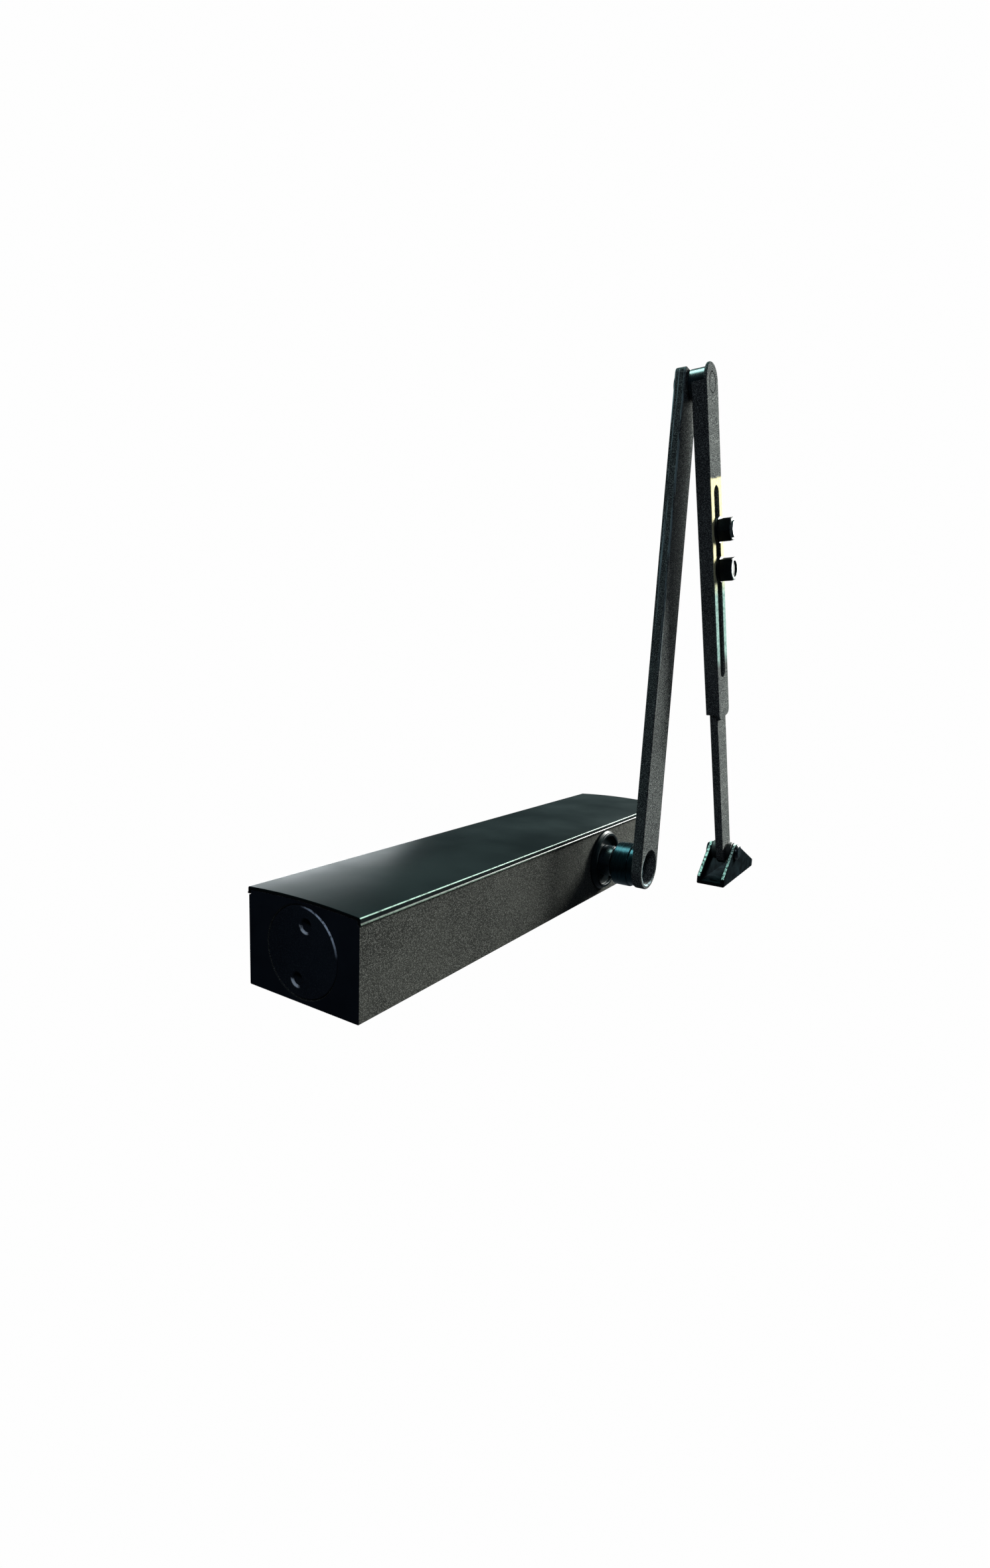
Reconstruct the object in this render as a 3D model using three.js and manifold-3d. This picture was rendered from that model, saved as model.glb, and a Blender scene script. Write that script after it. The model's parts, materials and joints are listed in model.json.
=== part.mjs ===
// Surface-mounted hydraulic door closer with a two-piece scissor arm.
// Millimetres, +Z up. The origin is the middle of the body's mounting face, which lies on z = 0.
// +X runs along the body, from the plain end to the end with the speed valves.
// The spindle lies along Y, and its arm side faces -Y.
import * as THREE from 'three';
import { mergeVertices } from 'three/addons/utils/BufferGeometryUtils.js';
import Module from 'manifold-3d';

const wasm = await Module();
wasm.setup();

// ---------------------------------------------------------------- driving dimensions

const GAP = 0.3; // clearance between pieces that fit one in the other
const FACE_GAP = 0.1; // clearance between faces that are clamped together

// Body casting and its snap-on cover
const BODY_LENGTH = 300;
const BODY_CROWN = 1.3;
const FLOOR_WALL = 2.1; // below the plugs
const ROOF_WALL = 1.9; // above the plugs, cover and all, at the body's sides
const VALVE_WALL = 1.9; // between a plug's thread and a speed valve
const SIDE_WALL = 2.3; // outside a speed valve
const COVER_SHEET = 1.2;
const COVER_SKIRT = 2.9;
const COVER_OVERHANG = 0.4;

// Cylinder bore and the screwed plugs that close it
const BORE_RADIUS = 17.2;
const PLUG_THREAD_DEPTH = 1.5;
const PLUG_THREAD_LENGTH = 10;
const PLUG_SPIGOT_LENGTH = 8;
const PLUG_SPANNER_PITCH = 11.6;
const PLUG_SPANNER_HOLE_RADIUS = 2.9;
const PLUG_SPANNER_HOLE_DEPTH = 5;
const PLUG_TURN = THREE.MathUtils.degToRad(12);
const PLUG_RING_SECTION = 1.3;

// Screw holes through the body, hidden by the cover
const FIXING_INSET_X = 32;
const FIXING_INSET_Y = 6.4;
const FIXING_HOLE_RADIUS = 3.1;
const FIXING_HEAD_RADIUS = 4.3;
const FIXING_HEAD_DEPTH = 8;

// Spindle with its pinion
const SPINDLE_FROM_END = 91.3; // from the valve end of the body
const JOURNAL_RADIUS = 9;
const SQUARE_SIZE = 11;
const SQUARE_SHORT_BY = 0.5; // the square stops this far short of the washer
const FREE_SQUARE_LENGTH = 5;
const MODULE = 2;
const TEETH = 8;
const PRESSURE_ANGLE = THREE.MathUtils.degToRad(30);
const STUB_ADDENDUM = 0.8; // of the module
const BACKLASH = 0.3;
const JOURNAL_MARGIN = 0.4; // from the rack's ends to the spindle's journals

// Bearings, seals and the screwed collars that hold them in the side walls
const BEARING_RADIUS = 13;
const BEARING_WIDTH = 6;
const COLLAR_THREAD_RADIUS = 15;
const COLLAR_THREAD_LENGTH = 6;
const COLLAR_BASE_RADIUS = 17.4;
const COLLAR_RIM_RADIUS = 16.2;
const COLLAR_RIM_WIDTH = 1.6;
const COLLAR_HEIGHT = 3.4;
const COLLAR_RECESS = 2;
const COLLAR_NOTCH_RADIUS = 1.6;
const COLLAR_NOTCH_DEPTH = 1.2;
const SEAL_RADIUS = 12;
const SEAL_WIDTH = 3.8;
const CAP_HEIGHT = 8.5;
const CAP_WALL = 1.5;

// Piston with the rack cut in its window
const PISTON_CLEARANCE = 0.5;
const PISTON_TRAVEL_ANGLE = THREE.MathUtils.degToRad(170);
const WINDOW_CLEARANCE = 1.9; // from the pinion's tip to the window's ends
const SPRING_HEAD = 13;
const SEALED_HEAD = 14;
const PISTON_RING_WIDTH = 3;
const PISTON_RING_DEPTH = 1.8;
const CHECK_BORE_RADIUS = 4;
const CHECK_BALL_RADIUS = 2.6;
const CHECK_PORT_RADIUS = 1.6;
const CHECK_RETAINER = 1.5;

// Main spring
const SPRING_RADIUS = 12;
const SPRING_WIRE_RADIUS = 2.1;
const SPRING_TURNS = 14;
const SPRING_SEAT_DEPTH = 3;

// Speed valves in the far end face
const VALVE_RADIUS = 3.1;
const VALVE_LENGTH = 21;
const VALVE_INSET = 0.8;
const VALVE_RING_SECTION = 0.7;
const VALVE_BORE_PAST_PLUG = 8;
const PASSAGE_RADIUS = 1.2;

// Main arm
const ARM_LENGTH = 261.8;
const ARM_LEAN = THREE.MathUtils.degToRad(2.46);
const ARM_THICKNESS = 5.9;
const HUB_CLEARANCE = 6.8; // from the collar to the arm's hub
const ARM_HUB_END_RADIUS = 12.2;
const ARM_ELBOW_HALF_WIDTH = 10.6;
const ARM_END_REACH = 7.2; // from the elbow's axis to the arm's square end
const ARM_END_CORNER = 2.8;
const HUB_RADIUS = 12.5;
const HUB_LENGTH = 13;
const ARM_RECESS_RADIUS = 9.9;
const ARM_RECESS_DEPTH = 8.4;
const ARM_WASHER_THICKNESS = 1.2;
const ARM_SCREW_RADIUS = 3.7;
const ARM_SCREW_HEAD_RADIUS = 6.5;
const ARM_SCREW_HEAD_HEIGHT = 3;
const ARM_SCREW_LENGTH = 12;

// Elbow
const ELBOW_SPLAY = THREE.MathUtils.degToRad(2.4); // the forearm leans away from the body by this
const ELBOW_PIN_RADIUS = 5;
const ELBOW_HEAD_RADIUS = 7.4;
const ELBOW_HEAD_HEIGHT = 1;

// Forearm: a slotted channel and the flat rod that slides in it
const FOREARM_TILT = THREE.MathUtils.degToRad(15.16);
const CHANNEL_GAP = 3.1; // from the main arm's face to the channel's flanges
const CHANNEL_DEPTH = 8.2;
const CHANNEL_HALF_WIDTH = 9.85;
const CHANNEL_SHEET = 1.5;
const CHANNEL_LENGTH = 183;
const FLANGE_START = -1.3;
const SLOT_START = 50.5;
const SLOT_END = 158;
const BOLT_STATIONS = [74.2, 95.7];
const BOLT_RADIUS = 3.9;
const BOLT_HEX = 12;
const BOLT_HEAD_HEIGHT = 7.1;
const BOLT_DISH_RADIUS = 4.6;
const BOLT_DISH_DEPTH = 0.8;
const BOLT_WASHER_RADIUS = 7.25;
const BOLT_WASHER_THICKNESS = 1.4;
const ROD_THICKNESS = 4.75;
const ROD_START = 62;

// Foot bracket
const FOOT_PIN_HEIGHT = 18.6;
const FOOT_PIN_RADIUS = 3;
const FOOT_PIN_HEAD_RADIUS = 4.9;
const FOOT_PIN_HEAD = 1.8;
const FOOT_PIN_TAIL_RADIUS = 4.2;
const FOOT_PIN_TAIL = 1.3;
const FOOT_WIDTH = 17.4;
const FOOT_SHEET = 2.4;
const FOOT_FRONT = 23.3; // from the pin forwards to the end of the base
const FOOT_REAR = 45;
const FOOT_NOSE_RADIUS = 5.2;
const FOOT_END_HEIGHT = 5.2;
const FOOT_SPACER_RADIUS = 6;
const FOOT_SCREW_RADIUS = 2.6;
const FOOT_SCREW_INSET = 7;

// ---------------------------------------------------------------- sizes that follow from them

const HALF_LENGTH = BODY_LENGTH / 2;
const PLUG_RADIUS = BORE_RADIUS + PLUG_THREAD_DEPTH;
const BORE_HEIGHT = FLOOR_WALL + PLUG_RADIUS;
const BODY_SIDE_HEIGHT = BORE_HEIGHT + PLUG_RADIUS + ROOF_WALL;
const VALVE_BORE_RADIUS = VALVE_RADIUS + GAP;
const VALVE_OFFSET_Y = PLUG_RADIUS + GAP + VALVE_WALL + VALVE_BORE_RADIUS;
const VALVE_BORE_DEPTH = PLUG_THREAD_LENGTH + PLUG_SPIGOT_LENGTH + VALVE_BORE_PAST_PLUG;
const HALF_WIDTH = VALVE_OFFSET_Y + VALVE_BORE_RADIUS + SIDE_WALL;
const SPINDLE_X = HALF_LENGTH - SPINDLE_FROM_END;
const COVER_BOTTOM = BODY_SIDE_HEIGHT - COVER_SKIRT;
const COVER_HALF_WIDTH = HALF_WIDTH + COVER_OVERHANG;
const PISTON_RADIUS = BORE_RADIUS - PISTON_CLEARANCE;
const PITCH_RADIUS = (MODULE * TEETH) / 2;
const ADDENDUM = STUB_ADDENDUM * MODULE;
const DEDENDUM = MODULE;
const TIP_RADIUS = PITCH_RADIUS + ADDENDUM;
const WINDOW_MARGIN = TIP_RADIUS + WINDOW_CLEARANCE;
const RACK_HALF_WIDTH = Math.sqrt(PISTON_RADIUS ** 2 - (PITCH_RADIUS - ADDENDUM) ** 2);
const PINION_HALF_WIDTH = RACK_HALF_WIDTH + JOURNAL_MARGIN;
const ROOT_RADIUS = PITCH_RADIUS - DEDENDUM;
const TOOTH_PITCH = Math.PI * MODULE;
const PISTON_TRAVEL = PITCH_RADIUS * PISTON_TRAVEL_ANGLE;
const COLLAR_THREAD_INNER_Y = HALF_WIDTH - COLLAR_THREAD_LENGTH;
const BEARING_OUTER_Y = COLLAR_THREAD_INNER_Y - FACE_GAP;
const COLLAR_TOP = HALF_WIDTH + COLLAR_HEIGHT;
const COLLAR_FLOOR = COLLAR_TOP - COLLAR_RECESS;
const SEAL_POCKET_END = COLLAR_THREAD_INNER_Y + SEAL_WIDTH + 2 * FACE_GAP;
const HUB_BACK_Y = -COLLAR_TOP - HUB_CLEARANCE;
const ARM_BACK_Y = HUB_BACK_Y - HUB_LENGTH;
const ARM_FACE_Y = ARM_BACK_Y - ARM_THICKNESS; // outer face of the main arm
const ARM_SEAT_Y = ARM_FACE_Y + ARM_RECESS_DEPTH; // what the arm's washer sits on
const SPINDLE_END_Y = ARM_SEAT_Y + SQUARE_SHORT_BY;
const FREE_END_Y = COLLAR_FLOOR + FREE_SQUARE_LENGTH;
const PISTON_SPRING_END = SPINDLE_X - WINDOW_MARGIN - SPRING_HEAD;
const PISTON_SEALED_END = SPINDLE_X + PISTON_TRAVEL + WINDOW_MARGIN + SEALED_HEAD;
const PLUG_INNER_X = HALF_LENGTH - PLUG_THREAD_LENGTH - PLUG_SPIGOT_LENGTH;
const CHANNEL_FRONT = CHANNEL_GAP + CHANNEL_DEPTH;
const WEB_BACK = CHANNEL_FRONT - CHANNEL_SHEET;
const ROD_HALF_WIDTH = CHANNEL_HALF_WIDTH - CHANNEL_SHEET - GAP;
const ROD_FRONT = WEB_BACK - GAP;
const ROD_BACK = ROD_FRONT - ROD_THICKNESS;
const SLOT_HALF_WIDTH = BOLT_RADIUS + GAP + 0.15;
const ELBOW_BUSH_RADIUS = CHANNEL_HALF_WIDTH - CHANNEL_SHEET - GAP;

const ELBOW = new THREE.Vector3(
  SPINDLE_X + ARM_LENGTH * Math.sin(ARM_LEAN),
  ARM_FACE_Y,
  BORE_HEIGHT + ARM_LENGTH * Math.cos(ARM_LEAN),
);

// The forearm's frame: it is tilted towards +X and splayed away from the body. The foot's pin
// lies as far down it as makes the foot stand level with the mounting face.
const UP_FOREARM = new THREE.Vector3(
  -Math.sin(FOREARM_TILT) * Math.cos(ELBOW_SPLAY),
  Math.sin(ELBOW_SPLAY),
  Math.cos(FOREARM_TILT) * Math.cos(ELBOW_SPLAY),
);
const ACROSS_FOREARM = new THREE.Vector3(Math.cos(FOREARM_TILT), 0, Math.sin(FOREARM_TILT));
const INTO_FOREARM = UP_FOREARM.clone().cross(ACROSS_FOREARM);
const ROD_MIDDLE = (ROD_FRONT + ROD_BACK) / 2;
const FOOT_STATION =
  (ELBOW.z - ROD_MIDDLE * INTO_FOREARM.z - FOOT_PIN_HEIGHT) / UP_FOREARM.z;

// Sides of a full circle on large, middling and small round pieces
const FINE = 44;
const MEDIUM = 30;
const COARSE = 18;

// ---------------------------------------------------------------- finishes

const finish = (color, roughness, metalness) =>
  new THREE.MeshStandardMaterial({ color, roughness, metalness });
const BODY_PAINT = () => finish(0x2c2f2e, 0.55, 0.4);
const COVER_PAINT = () => finish(0x1b2222, 0.45, 0.3);
const ARM_PAINT = () => finish(0x2a3034, 0.4, 0.6);
const BLACK_OXIDE = () => finish(0x15191d, 0.35, 0.7);
const BRIGHT_STEEL = () => finish(0x9aa0a2, 0.3, 0.9);
const BRONZE = () => finish(0xa07c45, 0.4, 0.8);
const SPRING_STEEL = () => finish(0x4a4c50, 0.4, 0.8);
const RUBBER = () => finish(0x101010, 0.9, 0);
const NYLON = () => finish(0x202322, 0.6, 0);

// ---------------------------------------------------------------- solids

// A manifold solid from a closed three.js geometry, with its faces turned outwards.
function solid(geometry) {
  const bare = geometry.clone();
  bare.deleteAttribute('normal');
  bare.deleteAttribute('uv');
  const merged = mergeVertices(bare, 1e-4);
  const position = merged.getAttribute('position');
  const a = new THREE.Vector3();
  const b = new THREE.Vector3();
  const c = new THREE.Vector3();
  const triangles = [];
  let volume = 0;
  for (let i = 0; i < merged.index.count; i += 3) {
    const [p, q, r] = [0, 1, 2].map((k) => merged.index.getX(i + k));
    if (p === q || q === r || r === p) continue;
    a.fromBufferAttribute(position, p);
    b.fromBufferAttribute(position, q);
    c.fromBufferAttribute(position, r);
    volume += a.dot(b.cross(c));
    triangles.push([p, q, r]);
  }
  const outward = volume < 0 ? triangles.map(([p, q, r]) => [p, r, q]) : triangles;
  return new wasm.Manifold(
    new wasm.Mesh({
      numProp: 3,
      vertProperties: new Float32Array(position.array),
      triVerts: new Uint32Array(outward.flat()),
    }),
  );
}

const union = (first, ...rest) => rest.reduce((whole, piece) => whole.add(piece), first);
const cut = (first, ...rest) => rest.reduce((whole, piece) => whole.subtract(piece), first);

// A named mesh of a solid.
function mesh(name, body, material) {
  const result = body.getMesh();
  const geometry = new THREE.BufferGeometry();
  const positions = new Float32Array(result.numVert * 3);
  for (let i = 0; i < result.numVert; i += 1) {
    for (let k = 0; k < 3; k += 1) {
      positions[3 * i + k] = result.vertProperties[i * result.numProp + k];
    }
  }
  geometry.setAttribute('position', new THREE.BufferAttribute(positions, 3));
  geometry.setIndex(Array.from(result.triVerts));
  const flat = geometry.toNonIndexed();
  flat.computeVertexNormals();
  const named = new THREE.Mesh(flat, material);
  named.name = name;
  return named;
}

const point = (x, y) => new THREE.Vector2(x, y);

// Points of an arc from one angle to another, in radians.
function arc(cx, cy, radius, from, to, steps) {
  const points = [];
  for (let i = 0; i <= steps; i += 1) {
    const angle = from + ((to - from) * i) / steps;
    points.push(point(cx + radius * Math.cos(angle), cy + radius * Math.sin(angle)));
  }
  return points;
}

const extrude = (outline, depth) =>
  new THREE.ExtrudeGeometry(new THREE.Shape(outline), { depth, bevelEnabled: false });

// Prisms: an outline in YZ, XZ or XY drawn out along the third axis between two stations.
function prismX(outline, x0, x1) {
  const turn = new THREE.Matrix4().makeBasis(
    new THREE.Vector3(0, 1, 0),
    new THREE.Vector3(0, 0, 1),
    new THREE.Vector3(1, 0, 0),
  );
  return solid(extrude(outline, x1 - x0).applyMatrix4(turn).translate(x0, 0, 0));
}
const prismY = (outline, y0, y1) =>
  solid(extrude(outline, y1 - y0).rotateX(Math.PI / 2).translate(0, y1, 0));
const prismZ = (outline, z0, z1) => solid(extrude(outline, z1 - z0).translate(0, 0, z0));

function box(x0, x1, y0, y1, z0, z1) {
  const block = new THREE.BoxGeometry(x1 - x0, y1 - y0, z1 - z0);
  return solid(block.translate((x0 + x1) / 2, (y0 + y1) / 2, (z0 + z1) / 2));
}

// Round bars along each axis, given by their middle line and two stations.
function barX(radius, x0, x1, y, z, sides = FINE) {
  const bar = new THREE.CylinderGeometry(radius, radius, x1 - x0, sides).rotateZ(-Math.PI / 2);
  return solid(bar.translate((x0 + x1) / 2, y, z));
}
function barY(radius, y0, y1, x, z, sides = MEDIUM) {
  const bar = new THREE.CylinderGeometry(radius, radius, y1 - y0, sides);
  return solid(bar.translate(x, (y0 + y1) / 2, z));
}
function barZ(radius, z0, z1, x, y, sides = COARSE) {
  const bar = new THREE.CylinderGeometry(radius, radius, z1 - z0, sides).rotateX(Math.PI / 2);
  return solid(bar.translate(x, y, (z0 + z1) / 2));
}

// A turned solid about a line along Y: the profile gives radius against y.
function turnedY(profile, x, z, sides = MEDIUM) {
  const points = profile.map(([radius, y]) => point(radius, y));
  return solid(new THREE.LatheGeometry(points, sides).translate(x, 0, z));
}

// A ring of round section about a line along X.
function ringX(radius, section, x, y, z, sides) {
  const ring = new THREE.TorusGeometry(radius, section, 6, sides).rotateY(Math.PI / 2);
  return solid(ring.translate(x, y, z));
}

// A flat washer about a line along Y.
function washerY(outer, inner, y0, y1, x, z, sides = MEDIUM) {
  return turnedY([[inner, y0], [outer, y0], [outer, y1], [inner, y1], [inner, y0]], x, z, sides);
}

// ---------------------------------------------------------------- body

// Height of the crowned top at a distance from the middle.
const crownHeight = (y) =>
  BODY_SIDE_HEIGHT + BODY_CROWN * (1 - (y / COVER_HALF_WIDTH) ** 2);

// The crown from +y to -y, lowered by drop.
function crown(halfWidth, drop) {
  const steps = 12;
  const points = [];
  for (let i = 0; i <= steps; i += 1) {
    const y = halfWidth * (1 - (2 * i) / steps);
    points.push(point(y, crownHeight(y) - drop));
  }
  return points;
}

function makeHousing() {
  const rebate = COVER_HALF_WIDTH - COVER_SHEET - GAP;
  const rebateFloor = COVER_BOTTOM - GAP;
  const outline = [
    point(-HALF_WIDTH, 0),
    point(HALF_WIDTH, 0),
    point(HALF_WIDTH, rebateFloor),
    point(rebate, rebateFloor),
    ...crown(rebate, COVER_SHEET + GAP),
    point(-rebate, rebateFloor),
    point(-HALF_WIDTH, rebateFloor),
  ];
  let body = prismX(outline, -HALF_LENGTH, HALF_LENGTH);
  const past = 1;
  body = cut(
    body,
    barX(BORE_RADIUS, -HALF_LENGTH - past, HALF_LENGTH + past, 0, BORE_HEIGHT),
    barY(BEARING_RADIUS + GAP, -HALF_WIDTH - past, HALF_WIDTH + past, SPINDLE_X, BORE_HEIGHT),
  );
  for (const side of [-1, 1]) {
    const ends = [side * (HALF_LENGTH - PLUG_THREAD_LENGTH), side * (HALF_LENGTH + past)];
    const counterbore = [Math.min(...ends), Math.max(...ends)];
    const faces = [side * COLLAR_THREAD_INNER_Y, side * (HALF_WIDTH + past)];
    const collarSeat = [Math.min(...faces), Math.max(...faces)];
    body = cut(
      body,
      barX(PLUG_RADIUS + GAP, ...counterbore, 0, BORE_HEIGHT),
      barY(COLLAR_THREAD_RADIUS + GAP, ...collarSeat, SPINDLE_X, BORE_HEIGHT),
      barX(
        VALVE_BORE_RADIUS,
        HALF_LENGTH - VALVE_BORE_DEPTH,
        HALF_LENGTH + past,
        side * VALVE_OFFSET_Y,
        BORE_HEIGHT,
        COARSE,
      ),
      barY(
        PASSAGE_RADIUS,
        Math.min(side * BORE_RADIUS * 0.9, side * VALVE_OFFSET_Y),
        Math.max(side * BORE_RADIUS * 0.9, side * VALVE_OFFSET_Y),
        HALF_LENGTH - VALVE_BORE_DEPTH + PASSAGE_RADIUS + 1,
        BORE_HEIGHT,
        8,
      ),
    );
    for (const end of [-1, 1]) {
      const x = end * (HALF_LENGTH - FIXING_INSET_X);
      const y = side * (HALF_WIDTH - FIXING_INSET_Y);
      const top = BODY_SIDE_HEIGHT + BODY_CROWN;
      body = cut(
        body,
        barZ(FIXING_HOLE_RADIUS, -past, top, x, y),
        barZ(FIXING_HEAD_RADIUS, top - COVER_SHEET - FIXING_HEAD_DEPTH, top, x, y),
      );
    }
  }
  return mesh('housing', body, BODY_PAINT());
}

function makeCover() {
  const outer = COVER_HALF_WIDTH;
  const inner = COVER_HALF_WIDTH - COVER_SHEET;
  const outline = [
    point(outer, COVER_BOTTOM),
    ...crown(outer, 0),
    point(-outer, COVER_BOTTOM),
    point(-inner, COVER_BOTTOM),
    ...crown(inner, COVER_SHEET).reverse(),
    point(inner, COVER_BOTTOM),
  ];
  return mesh('front_cover', prismX(outline, -HALF_LENGTH, HALF_LENGTH), COVER_PAINT());
}

// A screwed plug: side -1 closes the plain end, +1 the valve end.
function makePlug(name, side) {
  const threadEnd = HALF_LENGTH - PLUG_THREAD_LENGTH;
  const ringStation = PLUG_INNER_X + PLUG_SPIGOT_LENGTH / 2;
  const grooveHalf = PLUG_RING_SECTION + GAP;
  const spigot = BORE_RADIUS - GAP;
  const groove = spigot - 2 * PLUG_RING_SECTION - GAP;
  const profile = [
    [0, PLUG_INNER_X],
    [spigot, PLUG_INNER_X],
    [spigot, ringStation - grooveHalf],
    [groove, ringStation - grooveHalf],
    [groove, ringStation + grooveHalf],
    [spigot, ringStation + grooveHalf],
    [spigot, threadEnd + FACE_GAP],
    [PLUG_RADIUS, threadEnd + FACE_GAP],
    [PLUG_RADIUS, HALF_LENGTH - 0.6],
    [PLUG_RADIUS - 0.6, HALF_LENGTH],
    [0, HALF_LENGTH],
  ].map(([radius, x]) => point(radius, x));
  const turned = new THREE.LatheGeometry(profile, FINE).rotateZ(-Math.PI / 2);
  if (side < 0) turned.rotateZ(Math.PI);
  let plug = solid(turned.translate(0, 0, BORE_HEIGHT));
  for (const way of [-1, 1]) {
    const y = way * PLUG_SPANNER_PITCH * Math.sin(PLUG_TURN) * side;
    const z = BORE_HEIGHT + way * PLUG_SPANNER_PITCH * Math.cos(PLUG_TURN);
    const stations = [side * (HALF_LENGTH - PLUG_SPANNER_HOLE_DEPTH), side * (HALF_LENGTH + 1)];
    const depth = [Math.min(...stations), Math.max(...stations)];
    plug = cut(plug, barX(PLUG_SPANNER_HOLE_RADIUS, ...depth, y, z, COARSE));
  }
  return mesh(name, plug, BODY_PAINT());
}

function makePlugRing(name, side) {
  const radius = BORE_RADIUS - GAP - PLUG_RING_SECTION;
  const x = side * (PLUG_INNER_X + PLUG_SPIGOT_LENGTH / 2);
  return mesh(name, ringX(radius, PLUG_RING_SECTION, x, 0, BORE_HEIGHT, MEDIUM), RUBBER());
}

// ---------------------------------------------------------------- spindle supports

function makeBearing(name, side) {
  const stations = [side * (BEARING_OUTER_Y - BEARING_WIDTH), side * BEARING_OUTER_Y];
  const ring = washerY(
    BEARING_RADIUS,
    JOURNAL_RADIUS + GAP,
    Math.min(...stations),
    Math.max(...stations),
    SPINDLE_X,
    BORE_HEIGHT,
  );
  return mesh(name, ring, BRONZE());
}

function makeSeal(name, side) {
  const inner = side * (COLLAR_THREAD_INNER_Y + FACE_GAP);
  const outer = inner + side * SEAL_WIDTH;
  const ring = washerY(
    SEAL_RADIUS,
    JOURNAL_RADIUS + GAP,
    Math.min(inner, outer),
    Math.max(inner, outer),
    SPINDLE_X,
    BORE_HEIGHT,
  );
  return mesh(name, ring, RUBBER());
}

function makeCollar(name, side) {
  const bore = JOURNAL_RADIUS + GAP;
  const pocket = SEAL_RADIUS + GAP;
  const seat = HALF_WIDTH + FACE_GAP;
  const rimInner = COLLAR_RIM_RADIUS - COLLAR_RIM_WIDTH;
  const profile = [
    [bore, SEAL_POCKET_END],
    [pocket, SEAL_POCKET_END],
    [pocket, COLLAR_THREAD_INNER_Y],
    [COLLAR_THREAD_RADIUS, COLLAR_THREAD_INNER_Y],
    [COLLAR_THREAD_RADIUS, seat],
    [COLLAR_BASE_RADIUS, seat],
    [COLLAR_BASE_RADIUS, seat + 1.2],
    [COLLAR_RIM_RADIUS, COLLAR_TOP - 0.5],
    [COLLAR_RIM_RADIUS - 0.4, COLLAR_TOP],
    [rimInner, COLLAR_TOP],
    [rimInner, COLLAR_FLOOR],
    [bore, COLLAR_FLOOR],
    [bore, SEAL_POCKET_END],
  ].map(([radius, y]) => [radius, side * y]);
  let collar = turnedY(profile, SPINDLE_X, BORE_HEIGHT);
  const notchRing = (rimInner + bore) / 2;
  for (const way of [-1, 1]) {
    const x = SPINDLE_X + way * notchRing * Math.cos(Math.PI / 5);
    const z = BORE_HEIGHT + way * notchRing * Math.sin(Math.PI / 5);
    const stations = [side * (COLLAR_FLOOR - COLLAR_NOTCH_DEPTH), side * (COLLAR_TOP + 1)];
    const depth = [Math.min(...stations), Math.max(...stations)];
    collar = cut(collar, barY(COLLAR_NOTCH_RADIUS, ...depth, x, z, 12));
  }
  return mesh(name, collar, BLACK_OXIDE());
}

// The plain cap over the spindle's unused end.
function makeSpindleCap() {
  const radius = COLLAR_RIM_RADIUS - COLLAR_RIM_WIDTH - GAP;
  const foot = COLLAR_FLOOR + FACE_GAP;
  const top = foot + CAP_HEIGHT;
  const profile = [
    [0, top - CAP_WALL],
    [radius - CAP_WALL, top - CAP_WALL],
    [radius - CAP_WALL, foot],
    [radius, foot],
    [radius, top - 1],
    [radius - 1, top],
    [0, top],
  ];
  return mesh('spindle_cap', turnedY(profile, SPINDLE_X, BORE_HEIGHT), NYLON());
}

// ---------------------------------------------------------------- spindle, piston and spring

const involute = (angle) => Math.tan(angle) - angle;

// Outline of the pinion in XZ about the spindle, with a tooth pointing straight down.
function pinionOutline() {
  const base = PITCH_RADIUS * Math.cos(PRESSURE_ANGLE);
  const halfAtPitch = Math.PI / (2 * TEETH) - BACKLASH / (4 * PITCH_RADIUS);
  const points = [];
  for (let tooth = 0; tooth < TEETH; tooth += 1) {
    const middle = -Math.PI / 2 + (2 * Math.PI * tooth) / TEETH;
    const flank = [];
    const steps = 4;
    for (let i = 0; i <= steps; i += 1) {
      const radius = base + ((TIP_RADIUS - base) * i) / steps;
      const pressure = Math.acos(Math.min(1, base / radius));
      flank.push([radius, halfAtPitch + involute(PRESSURE_ANGLE) - involute(pressure)]);
    }
    flank.unshift([ROOT_RADIUS, flank[0][1]]);
    const rising = flank.map(([radius, half]) => [radius, middle - half]);
    const falling = flank.map(([radius, half]) => [radius, middle + half]).reverse();
    for (const [radius, angle] of [...rising, ...falling]) {
      points.push(point(SPINDLE_X + radius * Math.cos(angle), BORE_HEIGHT + radius * Math.sin(angle)));
    }
  }
  return points;
}

function squareBar(size, y0, y1) {
  const half = size / 2;
  return box(SPINDLE_X - half, SPINDLE_X + half, y0, y1, BORE_HEIGHT - half, BORE_HEIGHT + half);
}

function makeSpindle() {
  const journalEnd = HUB_BACK_Y + 2;
  const threadHole = ARM_SCREW_RADIUS + GAP;
  const spindle = union(
    prismY(pinionOutline(), -PINION_HALF_WIDTH - 0.5, PINION_HALF_WIDTH + 0.5),
    barY(JOURNAL_RADIUS, journalEnd, -PINION_HALF_WIDTH, SPINDLE_X, BORE_HEIGHT),
    barY(JOURNAL_RADIUS, PINION_HALF_WIDTH, COLLAR_FLOOR + 0.2, SPINDLE_X, BORE_HEIGHT),
    squareBar(SQUARE_SIZE, SPINDLE_END_Y, journalEnd + 1),
    squareBar(SQUARE_SIZE, COLLAR_FLOOR, FREE_END_Y),
  );
  const depth = [SPINDLE_END_Y - 1, SPINDLE_END_Y + ARM_SCREW_LENGTH];
  const bore = barY(threadHole, ...depth, SPINDLE_X, BORE_HEIGHT, COARSE);
  return mesh('pinion_spindle', cut(spindle, bore), BRIGHT_STEEL());
}

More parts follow.
